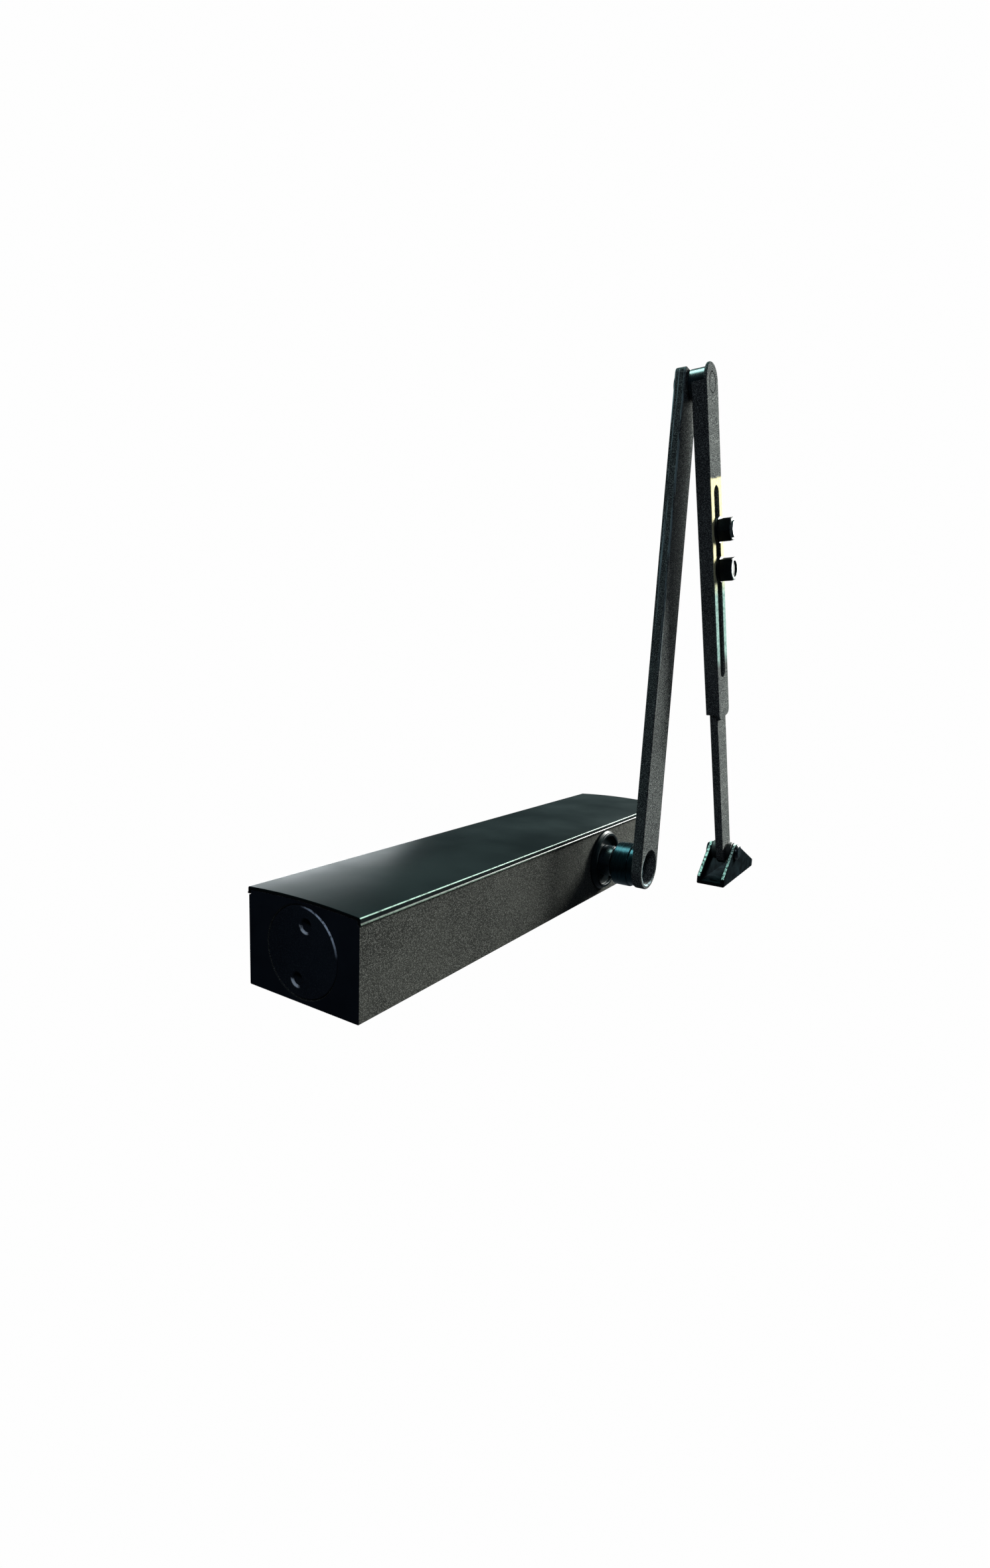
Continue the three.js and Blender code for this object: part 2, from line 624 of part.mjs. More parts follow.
// Outline of the piston's window in XZ, with the rack along its lower edge.
function windowOutline() {
  const left = SPINDLE_X - WINDOW_MARGIN;
  const right = SPINDLE_X + PISTON_TRAVEL + WINDOW_MARGIN;
  const rootLine = BORE_HEIGHT - PITCH_RADIUS - DEDENDUM;
  const tipLine = BORE_HEIGHT - PITCH_RADIUS + ADDENDUM;
  const roof = BORE_HEIGHT + TIP_RADIUS + 0.6;
  const halfAtPitch = TOOTH_PITCH / 4 - BACKLASH / 4;
  const halfAtRoot = halfAtPitch + DEDENDUM * Math.tan(PRESSURE_ANGLE);
  const halfAtTip = halfAtPitch - ADDENDUM * Math.tan(PRESSURE_ANGLE);
  const points = [point(left, roof), point(left, rootLine)];
  const first = Math.ceil((left - SPINDLE_X + halfAtRoot) / TOOTH_PITCH - 0.5);
  const last = Math.floor((right - SPINDLE_X - halfAtRoot) / TOOTH_PITCH - 0.5);
  for (let k = first; k <= last; k += 1) {
    const middle = SPINDLE_X + (k + 0.5) * TOOTH_PITCH;
    points.push(
      point(middle - halfAtRoot, rootLine),
      point(middle - halfAtTip, tipLine),
      point(middle + halfAtTip, tipLine),
      point(middle + halfAtRoot, rootLine),
    );
  }
  points.push(point(right, rootLine), point(right, roof));
  return points;
}

const ringStationX = PISTON_SEALED_END - SEALED_HEAD / 2;
const checkFloor = PISTON_SEALED_END - SEALED_HEAD / 2;

function makePiston() {
  const past = 1;
  const ringHalf = PISTON_RING_WIDTH / 2 + GAP;
  const groove = cut(
    barX(PISTON_RADIUS + past, ringStationX - ringHalf, ringStationX + ringHalf, 0, BORE_HEIGHT),
    barX(
      PISTON_RADIUS - PISTON_RING_DEPTH - GAP,
      ringStationX - ringHalf - past,
      ringStationX + ringHalf + past,
      0,
      BORE_HEIGHT,
    ),
  );
  const piston = cut(
    barX(PISTON_RADIUS, PISTON_SPRING_END, PISTON_SEALED_END, 0, BORE_HEIGHT),
    prismY(windowOutline(), -PISTON_RADIUS - past, PISTON_RADIUS + past),
    barX(
      SPRING_RADIUS + SPRING_WIRE_RADIUS + GAP,
      PISTON_SPRING_END - past,
      PISTON_SPRING_END + SPRING_SEAT_DEPTH,
      0,
      BORE_HEIGHT,
    ),
    groove,
    barX(CHECK_BORE_RADIUS, checkFloor, PISTON_SEALED_END + past, 0, BORE_HEIGHT, COARSE),
    barX(CHECK_PORT_RADIUS, checkFloor - SEALED_HEAD, PISTON_SEALED_END, 0, BORE_HEIGHT, 12),
  );
  return mesh('rack_piston', piston, BRIGHT_STEEL());
}

function makePistonSeal() {
  const outer = BORE_RADIUS - GAP;
  const inner = PISTON_RADIUS - PISTON_RING_DEPTH;
  const half = PISTON_RING_WIDTH / 2;
  const ring = cut(
    barX(outer, ringStationX - half, ringStationX + half, 0, BORE_HEIGHT),
    barX(inner, ringStationX - half - 1, ringStationX + half + 1, 0, BORE_HEIGHT),
  );
  return mesh('piston_seal', ring, RUBBER());
}

function makeCheckBall() {
  const x = checkFloor + CHECK_BALL_RADIUS + FACE_GAP;
  const ball = new THREE.SphereGeometry(CHECK_BALL_RADIUS, 14, 8).translate(x, 0, BORE_HEIGHT);
  return mesh('check_valve_ball', solid(ball), BRIGHT_STEEL());
}

function makeCheckRetainer() {
  const outer = CHECK_BORE_RADIUS - GAP;
  const retainer = cut(
    barX(outer, PISTON_SEALED_END - CHECK_RETAINER, PISTON_SEALED_END, 0, BORE_HEIGHT, COARSE),
    barX(CHECK_PORT_RADIUS, checkFloor, PISTON_SEALED_END + 1, 0, BORE_HEIGHT, 12),
  );
  return mesh('check_valve_retainer', retainer, BRIGHT_STEEL());
}

// The helix of the main spring's wire, along X.
class SpringLine extends THREE.Curve {
  constructor(x0, x1) {
    super();
    this.x0 = x0;
    this.x1 = x1;
  }

  getPoint(t, target = new THREE.Vector3()) {
    const angle = 2 * Math.PI * SPRING_TURNS * t;
    return target.set(
      this.x0 + (this.x1 - this.x0) * t,
      SPRING_RADIUS * Math.cos(angle),
      BORE_HEIGHT + SPRING_RADIUS * Math.sin(angle),
    );
  }
}

function makeSpring() {
  const reach = SPRING_WIRE_RADIUS + GAP;
  const line = new SpringLine(-PLUG_INNER_X + reach, PISTON_SPRING_END + SPRING_SEAT_DEPTH - reach);
  const section = new THREE.Shape(arc(0, 0, SPRING_WIRE_RADIUS, 0, 2 * Math.PI * (5 / 6), 5));
  const wire = new THREE.ExtrudeGeometry(section, { steps: SPRING_TURNS * 10, extrudePath: line });
  return mesh('main_spring', solid(wire), SPRING_STEEL());
}

// ---------------------------------------------------------------- speed valves

const valveRingX = HALF_LENGTH - VALVE_INSET - VALVE_LENGTH / 2;

function makeValve(name, side) {
  const y = side * VALVE_OFFSET_Y;
  const head = HALF_LENGTH - VALVE_INSET;
  const tip = head - VALVE_LENGTH;
  const groove = VALVE_RADIUS - 2 * VALVE_RING_SECTION;
  const half = VALVE_RING_SECTION + 0.2;
  const profile = [
    [0, tip],
    [0.7, tip + 0.5],
    [VALVE_RADIUS - 1.2, tip + 5],
    [VALVE_RADIUS - 1.2, tip + 6],
    [VALVE_RADIUS, tip + 7],
    [VALVE_RADIUS, valveRingX - half],
    [groove, valveRingX - half],
    [groove, valveRingX + half],
    [VALVE_RADIUS, valveRingX + half],
    [VALVE_RADIUS, head - 0.4],
    [VALVE_RADIUS - 0.4, head],
    [0, head],
  ].map(([radius, x]) => point(radius, x));
  const turned = new THREE.LatheGeometry(profile, COARSE).rotateZ(-Math.PI / 2);
  const slot = box(head - 1.5, head + 1, y - 0.5, y + 0.5, BORE_HEIGHT - 4, BORE_HEIGHT + 4);
  return mesh(name, cut(solid(turned.translate(0, y, BORE_HEIGHT)), slot), BRIGHT_STEEL());
}

function makeValveRing(name, side) {
  const inner = VALVE_RADIUS - 2 * VALVE_RING_SECTION + 0.1;
  const radius = inner + VALVE_RING_SECTION;
  const y = side * VALVE_OFFSET_Y;
  const ring = ringX(radius, VALVE_RING_SECTION, valveRingX, y, BORE_HEIGHT, COARSE);
  return mesh(name, ring, RUBBER());
}

// ---------------------------------------------------------------- main arm

// Outline in XZ of the arm: round at the hub, square with rounded corners at the elbow.
function armOutline(hub, elbow) {
  const along = Math.atan2(elbow.y - hub.y, elbow.x - hub.x);
  const narrowing = ARM_HUB_END_RADIUS - ARM_ELBOW_HALF_WIDTH;
  const taper = Math.acos(narrowing / hub.distanceTo(elbow));
  const out = ARM_END_REACH - ARM_END_CORNER;
  const width = ARM_ELBOW_HALF_WIDTH - ARM_END_CORNER;
  const aside = (width - Math.cos(taper) * out) / Math.sin(taper);
  const corner = (side, from, to) => {
    const x = elbow.x + out * Math.cos(along) - side * aside * Math.sin(along);
    const z = elbow.y + out * Math.sin(along) + side * aside * Math.cos(along);
    return arc(x, z, ARM_END_CORNER, from, to, 8);
  };
  const hubEnd = [along + taper, along + 2 * Math.PI - taper];
  return [
    ...arc(hub.x, hub.y, ARM_HUB_END_RADIUS, ...hubEnd, 20),
    ...corner(-1, along - taper, along),
    ...corner(1, along, along + taper),
  ];
}

function makeMainArm() {
  const hub = point(SPINDLE_X, BORE_HEIGHT);
  const elbow = point(ELBOW.x, ELBOW.z);
  const outline = armOutline(hub, elbow);
  const past = 1;
  const arm = cut(
    union(
      prismY(outline, ARM_FACE_Y, ARM_BACK_Y),
      barY(HUB_RADIUS, ARM_BACK_Y - past, HUB_BACK_Y, SPINDLE_X, BORE_HEIGHT),
    ),
    barY(ARM_RECESS_RADIUS, ARM_FACE_Y - past, ARM_SEAT_Y, SPINDLE_X, BORE_HEIGHT),
    squareBar(SQUARE_SIZE + 2 * GAP, ARM_SEAT_Y - past, HUB_BACK_Y + past),
    barY(ELBOW_PIN_RADIUS + 2 * GAP, ARM_FACE_Y - past, ARM_BACK_Y + past, ELBOW.x, ELBOW.z),
  );
  return mesh('main_arm', arm, ARM_PAINT());
}

const washerBack = ARM_SEAT_Y - FACE_GAP;
const washerFront = washerBack - ARM_WASHER_THICKNESS;

function makeArmWasher() {
  const radius = ARM_RECESS_RADIUS - GAP;
  const hole = ARM_SCREW_RADIUS + GAP;
  return mesh(
    'arm_washer',
    washerY(radius, hole, washerFront, washerBack, SPINDLE_X, BORE_HEIGHT),
    BLACK_OXIDE(),
  );
}

function makeArmScrew() {
  const back = washerFront - FACE_GAP;
  const front = back - ARM_SCREW_HEAD_HEIGHT;
  const key = arc(SPINDLE_X, BORE_HEIGHT, 3, 0, 2 * Math.PI * (5 / 6), 5);
  const screw = cut(
    union(
      barY(ARM_SCREW_HEAD_RADIUS, front, back, SPINDLE_X, BORE_HEIGHT),
      barY(ARM_SCREW_RADIUS, back - 0.5, back + ARM_SCREW_LENGTH, SPINDLE_X, BORE_HEIGHT, COARSE),
    ),
    prismY(key, front - 1, front + 2),
  );
  return mesh('arm_screw', screw, BLACK_OXIDE());
}

// ---------------------------------------------------------------- elbow and forearm
// These are drawn in the forearm's own frame: its origin is on the main arm's outer face at the
// elbow, -Z runs down the forearm to the foot, and -Y points away from the main arm.

function makeElbowPin() {
  const headBack = ARM_THICKNESS + GAP + 0.2;
  const pin = union(
    barY(ELBOW_PIN_RADIUS, -CHANNEL_FRONT, headBack + 1, 0, 0),
    barY(ELBOW_HEAD_RADIUS, headBack, headBack + ELBOW_HEAD_HEIGHT, 0, 0),
  );
  return mesh('elbow_pin', pin, BLACK_OXIDE());
}

function makeElbowBush() {
  const back = -2 * GAP;
  const front = -WEB_BACK + GAP;
  const bush = washerY(ELBOW_BUSH_RADIUS, ELBOW_PIN_RADIUS + GAP, front, back, 0, 0);
  return mesh('elbow_bush', bush, BLACK_OXIDE());
}

function makeChannel() {
  const half = CHANNEL_HALF_WIDTH;
  const inner = half - CHANNEL_SHEET;
  const end = -CHANNEL_LENGTH;
  const corner = 4;
  const web = [
    ...arc(0, 0, half, 0, Math.PI, 20),
    ...arc(-half + corner, end + corner, corner, Math.PI, 1.5 * Math.PI, 5),
    ...arc(half - corner, end + corner, corner, 1.5 * Math.PI, 2 * Math.PI, 5),
  ];
  const slotTop = -SLOT_START - SLOT_HALF_WIDTH;
  const slotBottom = -SLOT_END + SLOT_HALF_WIDTH;
  const slot = [
    ...arc(0, slotTop, SLOT_HALF_WIDTH, 0, Math.PI, 12),
    ...arc(0, slotBottom, SLOT_HALF_WIDTH, Math.PI, 2 * Math.PI, 12),
  ];
  const flangeEnd = end + corner;
  const channel = cut(
    union(
      prismY(web, -CHANNEL_FRONT, -WEB_BACK),
      box(-half, -inner, -CHANNEL_FRONT, -CHANNEL_GAP, flangeEnd, -FLANGE_START),
      box(inner, half, -CHANNEL_FRONT, -CHANNEL_GAP, flangeEnd, -FLANGE_START),
    ),
    prismY(slot, -CHANNEL_FRONT - 1, -WEB_BACK + 1),
    barY(ELBOW_PIN_RADIUS + GAP, -CHANNEL_FRONT - 1, -WEB_BACK + 1, 0, 0),
  );
  return mesh('forearm_channel', channel, ARM_PAINT());
}

function makeRod() {
  const outline = [
    point(ROD_HALF_WIDTH, -ROD_START),
    point(-ROD_HALF_WIDTH, -ROD_START),
    ...arc(0, -FOOT_STATION, ROD_HALF_WIDTH, Math.PI, 2 * Math.PI, 16),
  ];
  const through = [-ROD_FRONT - 1, -ROD_BACK + 1];
  const rod = cut(
    prismY(outline, -ROD_FRONT, -ROD_BACK),
    barY(FOOT_PIN_RADIUS + 2 * GAP, ...through, 0, -FOOT_STATION, COARSE),
    ...BOLT_STATIONS.map((station) => barY(BOLT_RADIUS + GAP, ...through, 0, -station, COARSE)),
  );
  return mesh('forearm_rod', rod, ARM_PAINT());
}

const boltWasherBack = -CHANNEL_FRONT - FACE_GAP;
const boltWasherFront = boltWasherBack - BOLT_WASHER_THICKNESS;

function makeBoltWasher(name, station) {
  const hole = BOLT_RADIUS + GAP;
  const washer = washerY(BOLT_WASHER_RADIUS, hole, boltWasherFront, boltWasherBack, 0, -station);
  return mesh(name, washer, BLACK_OXIDE());
}

function makeBolt(name, station) {
  const seat = boltWasherFront - FACE_GAP;
  const top = seat - BOLT_HEAD_HEIGHT;
  const hex = arc(0, -station, BOLT_HEX / Math.sqrt(3), 0, 2 * Math.PI * (5 / 6), 5);
  const dish = [
    [0, top + BOLT_DISH_DEPTH],
    [BOLT_DISH_RADIUS, top],
    [BOLT_DISH_RADIUS, top - 1],
    [0, top - 1],
  ];
  const bolt = cut(
    union(prismY(hex, top, seat), barY(BOLT_RADIUS, seat - 0.5, -ROD_BACK, 0, -station, COARSE)),
    turnedY(dish, 0, -station, COARSE),
  );
  return mesh(name, bolt, BRIGHT_STEEL());
}

// ---------------------------------------------------------------- foot
// Drawn about the foot's pin: the group that holds it is placed there, square to the body.

function makeFootBracket() {
  const pinHeight = FOOT_PIN_HEIGHT;
  const nose = FOOT_NOSE_RADIUS;
  const outline = [
    point(-FOOT_FRONT, -pinHeight),
    point(FOOT_REAR, -pinHeight),
    point(FOOT_REAR, -pinHeight + FOOT_END_HEIGHT),
    ...arc(0, 0, nose, Math.PI * 0.4, Math.PI * 0.76, 10),
    point(-FOOT_FRONT, -pinHeight + FOOT_END_HEIGHT),
  ];
  const half = FOOT_WIDTH / 2;
  const inside = half - FOOT_SHEET;
  const floor = -pinHeight + FOOT_SHEET;
  let bracket = cut(
    prismY(outline, -half, half),
    box(-FOOT_FRONT - 1, FOOT_REAR + 1, -inside, inside, floor, nose + 1),
    barY(FOOT_PIN_RADIUS + GAP, -half - 1, half + 1, 0, 0, COARSE),
  );
  for (const x of [-FOOT_FRONT + FOOT_SCREW_INSET, FOOT_REAR - FOOT_SCREW_INSET]) {
    bracket = cut(bracket, barZ(FOOT_SCREW_RADIUS, -pinHeight - 1, floor + 1, x, 0));
  }
  return mesh('foot_bracket', bracket, BLACK_OXIDE());
}

function makeFootPin() {
  const half = FOOT_WIDTH / 2 + FACE_GAP;
  const pin = union(
    barY(FOOT_PIN_RADIUS, -half - 0.5, half + 0.5, 0, 0, COARSE),
    barY(FOOT_PIN_HEAD_RADIUS, -half - FOOT_PIN_HEAD, -half, 0, 0),
    barY(FOOT_PIN_TAIL_RADIUS, half, half + FOOT_PIN_TAIL, 0, 0),
  );
  return mesh('foot_pin', pin, BRIGHT_STEEL());
}

function makeFootSpacer(name, side) {
  const rodReach = ROD_THICKNESS / 2 + FOOT_SPACER_RADIUS * Math.sin(ELBOW_SPLAY) + GAP;
  const earFace = FOOT_WIDTH / 2 - FOOT_SHEET - GAP;
  const stations = [side * rodReach, side * earFace];
  const hole = FOOT_PIN_RADIUS + GAP;
  const width = [Math.min(...stations), Math.max(...stations)];
  return mesh(name, washerY(FOOT_SPACER_RADIUS, hole, ...width, 0, 0), NYLON());
}

// ---------------------------------------------------------------- assembly

const closer = new THREE.Group();
closer.add(
  makeHousing(),
  makeCover(),
  makePlug('end_plug_plain', -1),
  makePlug('end_plug_valve', 1),
  makePlugRing('plug_ring_plain', -1),
  makePlugRing('plug_ring_valve', 1),
  makeBearing('bearing_arm_side', -1),
  makeBearing('bearing_cap_side', 1),
  makeSeal('spindle_seal_arm_side', -1),
  makeSeal('spindle_seal_cap_side', 1),
  makeCollar('collar_arm_side', -1),
  makeCollar('collar_cap_side', 1),
  makeSpindleCap(),
  makeSpindle(),
  makePiston(),
  makePistonSeal(),
  makeCheckBall(),
  makeCheckRetainer(),
  makeSpring(),
  makeValve('closing_valve', -1),
  makeValve('latching_valve', 1),
  makeValveRing('closing_valve_ring', -1),
  makeValveRing('latching_valve_ring', 1),
  makeMainArm(),
  makeArmWasher(),
  makeArmScrew(),
);

// The forearm hangs from the elbow.
const forearm = new THREE.Group();
forearm.quaternion.setFromRotationMatrix(
  new THREE.Matrix4().makeBasis(ACROSS_FOREARM, INTO_FOREARM, UP_FOREARM),
);
forearm.position.copy(ELBOW);
forearm.add(
  makeElbowPin(),
  makeElbowBush(),
  makeChannel(),
  makeRod(),
  makeBoltWasher('clamp_washer_upper', BOLT_STATIONS[0]),
  makeBoltWasher('clamp_washer_lower', BOLT_STATIONS[1]),
  makeBolt('clamp_bolt_upper', BOLT_STATIONS[0]),
  makeBolt('clamp_bolt_lower', BOLT_STATIONS[1]),
);
closer.add(forearm);

// The foot stands on z = 0 with its pin through the middle of the rod's eye.
const eye = new THREE.Vector3(0, -ROD_MIDDLE, -FOOT_STATION);
forearm.updateMatrixWorld(true);
const footPivot = eye.applyMatrix4(forearm.matrixWorld);
const foot = new THREE.Group();
foot.position.copy(footPivot);
foot.add(
  makeFootBracket(),
  makeFootPin(),
  makeFootSpacer('foot_spacer_outer', -1),
  makeFootSpacer('foot_spacer_inner', 1),
);
closer.add(foot);

export default closer;
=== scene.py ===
"""Looks of a surface-mounted door closer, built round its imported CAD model.

Metres, +Z up, in the model's own frame: the body lies along X on z = 0, and the scissor arm
stands up on its -Y side. The forearm's pieces are drawn in the forearm's frame: its origin is
on the main arm's outer face at the elbow, -Z runs down to the foot and -Y points away from
the main arm.
"""
import json
import math

import bmesh
import bpy
from mathutils import Matrix, Vector


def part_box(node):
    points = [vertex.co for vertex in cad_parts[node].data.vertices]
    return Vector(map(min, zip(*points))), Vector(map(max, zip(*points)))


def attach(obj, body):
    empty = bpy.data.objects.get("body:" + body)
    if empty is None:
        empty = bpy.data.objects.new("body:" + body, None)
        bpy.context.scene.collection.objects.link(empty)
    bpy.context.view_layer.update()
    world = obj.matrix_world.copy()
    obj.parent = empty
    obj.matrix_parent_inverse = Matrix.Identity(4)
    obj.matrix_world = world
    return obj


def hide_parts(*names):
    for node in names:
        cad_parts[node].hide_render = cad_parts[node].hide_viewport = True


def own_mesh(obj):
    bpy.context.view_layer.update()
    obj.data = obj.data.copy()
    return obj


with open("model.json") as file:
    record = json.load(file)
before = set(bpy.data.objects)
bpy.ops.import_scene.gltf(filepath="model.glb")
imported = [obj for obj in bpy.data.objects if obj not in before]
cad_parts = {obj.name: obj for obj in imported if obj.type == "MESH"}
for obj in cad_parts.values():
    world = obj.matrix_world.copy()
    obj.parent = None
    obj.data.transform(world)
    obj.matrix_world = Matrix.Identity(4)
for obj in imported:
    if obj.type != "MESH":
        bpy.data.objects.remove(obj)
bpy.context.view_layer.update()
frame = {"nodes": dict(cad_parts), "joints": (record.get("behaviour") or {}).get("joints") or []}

MM = 0.001
JOINTS = {joint["name"]: joint for joint in frame["joints"]}
NODES = frame["nodes"]

# ---------------------------------------------------------------- sizes the boxes don't give

ROUND = 96  # sides of a turned piece
EDGE = 0.35 * MM  # rounding of a machined edge
GAP = 0.3 * MM

CROWN = 1.3 * MM  # rise of the cover's top from its edges to its middle
COVER_SHEET = 1.2 * MM
COVER_EDGE_RADIUS = 0.7 * MM
FINE_EDGE = 0.25 * MM  # of the body and the cover
HEM = 0.3 * MM  # how far the rolled hem stands proud of the skirt
BORE_RADIUS = 17.2 * MM
PLUG_THREAD = 10 * MM
SPANNER_PITCH = 11.6 * MM
SPANNER_HOLE = 2.9 * MM
SPANNER_DEPTH = 5 * MM
PLUG_TURN = math.radians(12)
FIXING_INSET_X = 32 * MM
FIXING_INSET_Y = 6.4 * MM
FIXING_HOLE = 3.1 * MM
FIXING_HEAD = 4.3 * MM
FIXING_HEAD_DEPTH = 8 * MM
PLUG_SPIGOT = 8 * MM  # length of the plug's plain nose
PLUG_RING_HALF = 1.6 * MM  # of the groove for the plug's ring
PLUG_RING_DEPTH = 2.9 * MM
VALVE_BORE = 3.4 * MM
VALVE_BORE_DEPTH = 26 * MM

JOURNAL_RADIUS = 9 * MM
SQUARE = 11 * MM
GEAR_MODULE = 2 * MM
GEAR_TEETH = 8
PRESSURE_ANGLE = math.radians(30)
COLLAR_RIM_WIDTH = 1.6 * MM
COLLAR_RECESS = 2 * MM
NOTCH_RADIUS = 1.6 * MM
COLLAR_THREAD = 15 * MM
COLLAR_THREAD_DEPTH = 6 * MM
COLLAR_LIP = 12.3 * MM
COLLAR_FLARE = 1.2 * MM  # from the rim of the collar's face out to its base
SPINDLE_BORE = 13.3 * MM
RACK_HALF = 15.8 * MM
SCREW_HOLE = 4 * MM
SCREW_HOLE_DEPTH = 12 * MM
SCREW_SHANK = 3.7 * MM
SCREW_HEAD = 3 * MM
SCREW_KEY = 3 * MM

HUB_RADIUS = 12.5 * MM
ARM_THICKNESS = 5.9 * MM
ARM_RECESS = 9.9 * MM
ARM_RECESS_DEPTH = 8.4 * MM
ARM_HALF_WIDTH = 10.6 * MM  # at the elbow
ARM_END_REACH = 7.2 * MM
ARM_END_CORNER = 2.8 * MM
ARM_EDGE = 0.7 * MM
HUB_NECK = 3.4 * MM  # length of the groove between bar and hub
HUB_NECK_DEPTH = 0.8 * MM
ELBOW_HEAD_HEIGHT = 1 * MM
ELBOW_SHANK = 5 * MM
ELBOW_BORE = 5.3 * MM
ARM_PIN_HOLE = 5.6 * MM

SHEET = 1.5 * MM  # of the forearm's channel
FLANGE_TOP = 1.3 * MM  # above the elbow's axis
SLOT_START = 50.5 * MM
SLOT_END = 158 * MM
SLOT_HALF = 4.35 * MM
BOLT_SHANK = 3.9 * MM
DISH_RADIUS = 4.6 * MM
DISH_DEPTH = 0.8 * MM
BOLT_HEAD = 7.1 * MM

FOOT_SHEET = 2.4 * MM
FOOT_NOSE = 5.2 * MM
FOOT_END_HEIGHT = 5.2 * MM
FOOT_SCREW_INSET = 7 * MM
FOOT_SCREW = 2.6 * MM
FOOT_PIN_SHANK = 3 * MM
FOOT_PIN_HOLE = 3.3 * MM
ROD_PIN_HOLE = 3.6 * MM

SPRING_WIRE = 4.2 * MM  # across the wire
SPRING_TURNS = 14
SPRING_STEPS = 32 * SPRING_TURNS
SPRING_SIDES = 12

# ---------------------------------------------------------------- frames of reference

ROW = Matrix.Identity(4)
ALONG_X = Matrix.Rotation(-math.pi / 2, 4, "Z")  # turns a piece drawn about Y to lie about X


def joint_point(name):
    return Vector(JOINTS[name]["pos_m"])


def joint_axis(name):
    return Vector(JOINTS[name]["axis"]).normalized()


SPINDLE = Matrix.Translation(joint_point("spindle_turn"))
FOOT = Matrix.Translation(joint_point("foot_pivot"))

into_forearm = -joint_axis("elbow_pivot")
up_forearm = -joint_axis("forearm_length")
across_forearm = into_forearm.cross(up_forearm).normalized()
FOREARM = Matrix((across_forearm, into_forearm, up_forearm)).transposed().to_4x4()
FOREARM.translation = joint_point("elbow_pivot")


def extent(node, place=ROW):
    """Lowest and highest corner of a CAD node in the given frame."""
    to_local = place.inverted()
    corners = [to_local @ v.co for v in NODES[node].data.vertices]
    low = Vector(min(c[k] for c in corners) for k in range(3))
    high = Vector(max(c[k] for c in corners) for k in range(3))
    return low, high


# ---------------------------------------------------------------- outlines

def arc(cx, cz, radius, start, end, steps):
    """Points of an arc, angles in radians."""
    angles = [start + (end - start) * i / steps for i in range(steps + 1)]
    return [(cx + radius * math.cos(a), cz + radius * math.sin(a)) for a in angles]


def rounded(corners, closed=False, steps=5):
    """An outline of (u, v, radius) corners with each corner rounded to its radius."""
    points = []
    count = len(corners)
    for i, (u, v, radius) in enumerate(corners):
        at_end = not closed and i in (0, count - 1)
        if radius <= 0 or at_end:
            points.append((u, v))
            continue
        here = Vector((u, v))
        back = (Vector(corners[i - 1][:2]) - here).normalized()
        ahead = (Vector(corners[(i + 1) % count][:2]) - here).normalized()
        half = back.angle(ahead) / 2
        if half > math.radians(89):
            points.append((u, v))
            continue
        reach = radius / math.tan(half)
        centre = here + (back + ahead).normalized() * (radius / math.sin(half))
        first = here + back * reach - centre
        last = here + ahead * reach - centre
        turn = first.angle_signed(last)
        for k in range(steps + 1):
            spoke = Matrix.Rotation(-turn * k / steps, 2) @ first
            points.append(tuple(centre + spoke))
    return points


def arm_outline(hub, hub_radius, elbow, steps=28):
    """Outline of the main arm: round at the hub, square with rounded corners at the elbow."""
    hub, elbow = Vector(hub), Vector(elbow)
    way = elbow - hub
    along = math.atan2(way.y, way.x)
    taper = math.acos((hub_radius - ARM_HALF_WIDTH) / way.length)
    out = ARM_END_REACH - ARM_END_CORNER
    aside = (ARM_HALF_WIDTH - ARM_END_CORNER - math.cos(taper) * out) / math.sin(taper)
    outline = arc(*hub, hub_radius, along + taper, along + 2 * math.pi - taper, steps)
    for side, start, end in ((-1, along - taper, along), (1, along, along + taper)):
        spot = elbow + Matrix.Rotation(along, 2) @ Vector((out, side * aside))
        outline += arc(*spot, ARM_END_CORNER, start, end, 8)
    return outline


# ---------------------------------------------------------------- solids

def new_piece(name, vertices, faces):
    mesh = bpy.data.meshes.new(name)
    mesh.from_pydata([tuple(v) for v in vertices], [], faces)
    work = bmesh.new()
    work.from_mesh(mesh)
    bmesh.ops.recalc_face_normals(work, faces=work.faces)
    work.to_mesh(mesh)
    work.free()
    piece = bpy.data.objects.new(name, mesh)
    bpy.context.scene.collection.objects.link(piece)
    return piece


def prism(name, outline, low, high, place=ROW):
    """An XZ outline drawn out along Y from low to high."""
    count = len(outline)
    vertices = [place @ Vector((u, y, v)) for y in (low, high) for u, v in outline]
    faces = [tuple(range(count)), tuple(range(2 * count - 1, count - 1, -1))]
    for i in range(count):
        j = (i + 1) % count
        faces.append((i, count + i, count + j, j))
    return new_piece(name, vertices, faces)


def block(name, low, high, place=ROW):
    (x0, y0, z0), (x1, y1, z1) = low, high
    return prism(name, [(x0, z0), (x1, z0), (x1, z1), (x0, z1)], y0, y1, place)


def turned(name, profile, place=ROW, sides=ROUND):
    """A profile of (radius, y) points turned about Y. It closes on itself or ends on the axis."""
    open_ended = profile[0][0] < 1e-9 and profile[-1][0] < 1e-9
    vertices, rings = [], []
    for radius, y in profile:
        if radius < 1e-9:
            rings.append([len(vertices)] * sides)
            vertices.append(place @ Vector((0, y, 0)))
            continue
        rings.append([len(vertices) + k for k in range(sides)])
        for k in range(sides):
            angle = 2 * math.pi * k / sides
            spoke = Vector((radius * math.cos(angle), y, radius * math.sin(angle)))
            vertices.append(place @ spoke)
    faces = []
    pairs = zip(rings, rings[1:]) if open_ended else zip(rings, rings[1:] + rings[:1])
    for a, b in pairs:
        for k in range(sides):
            n = (k + 1) % sides
            corners = [a[k], b[k], b[n], a[n]]
            face = list(dict.fromkeys(corners))
            if len(face) > 2:
                faces.append(tuple(face))
    return new_piece(name, vertices, faces)


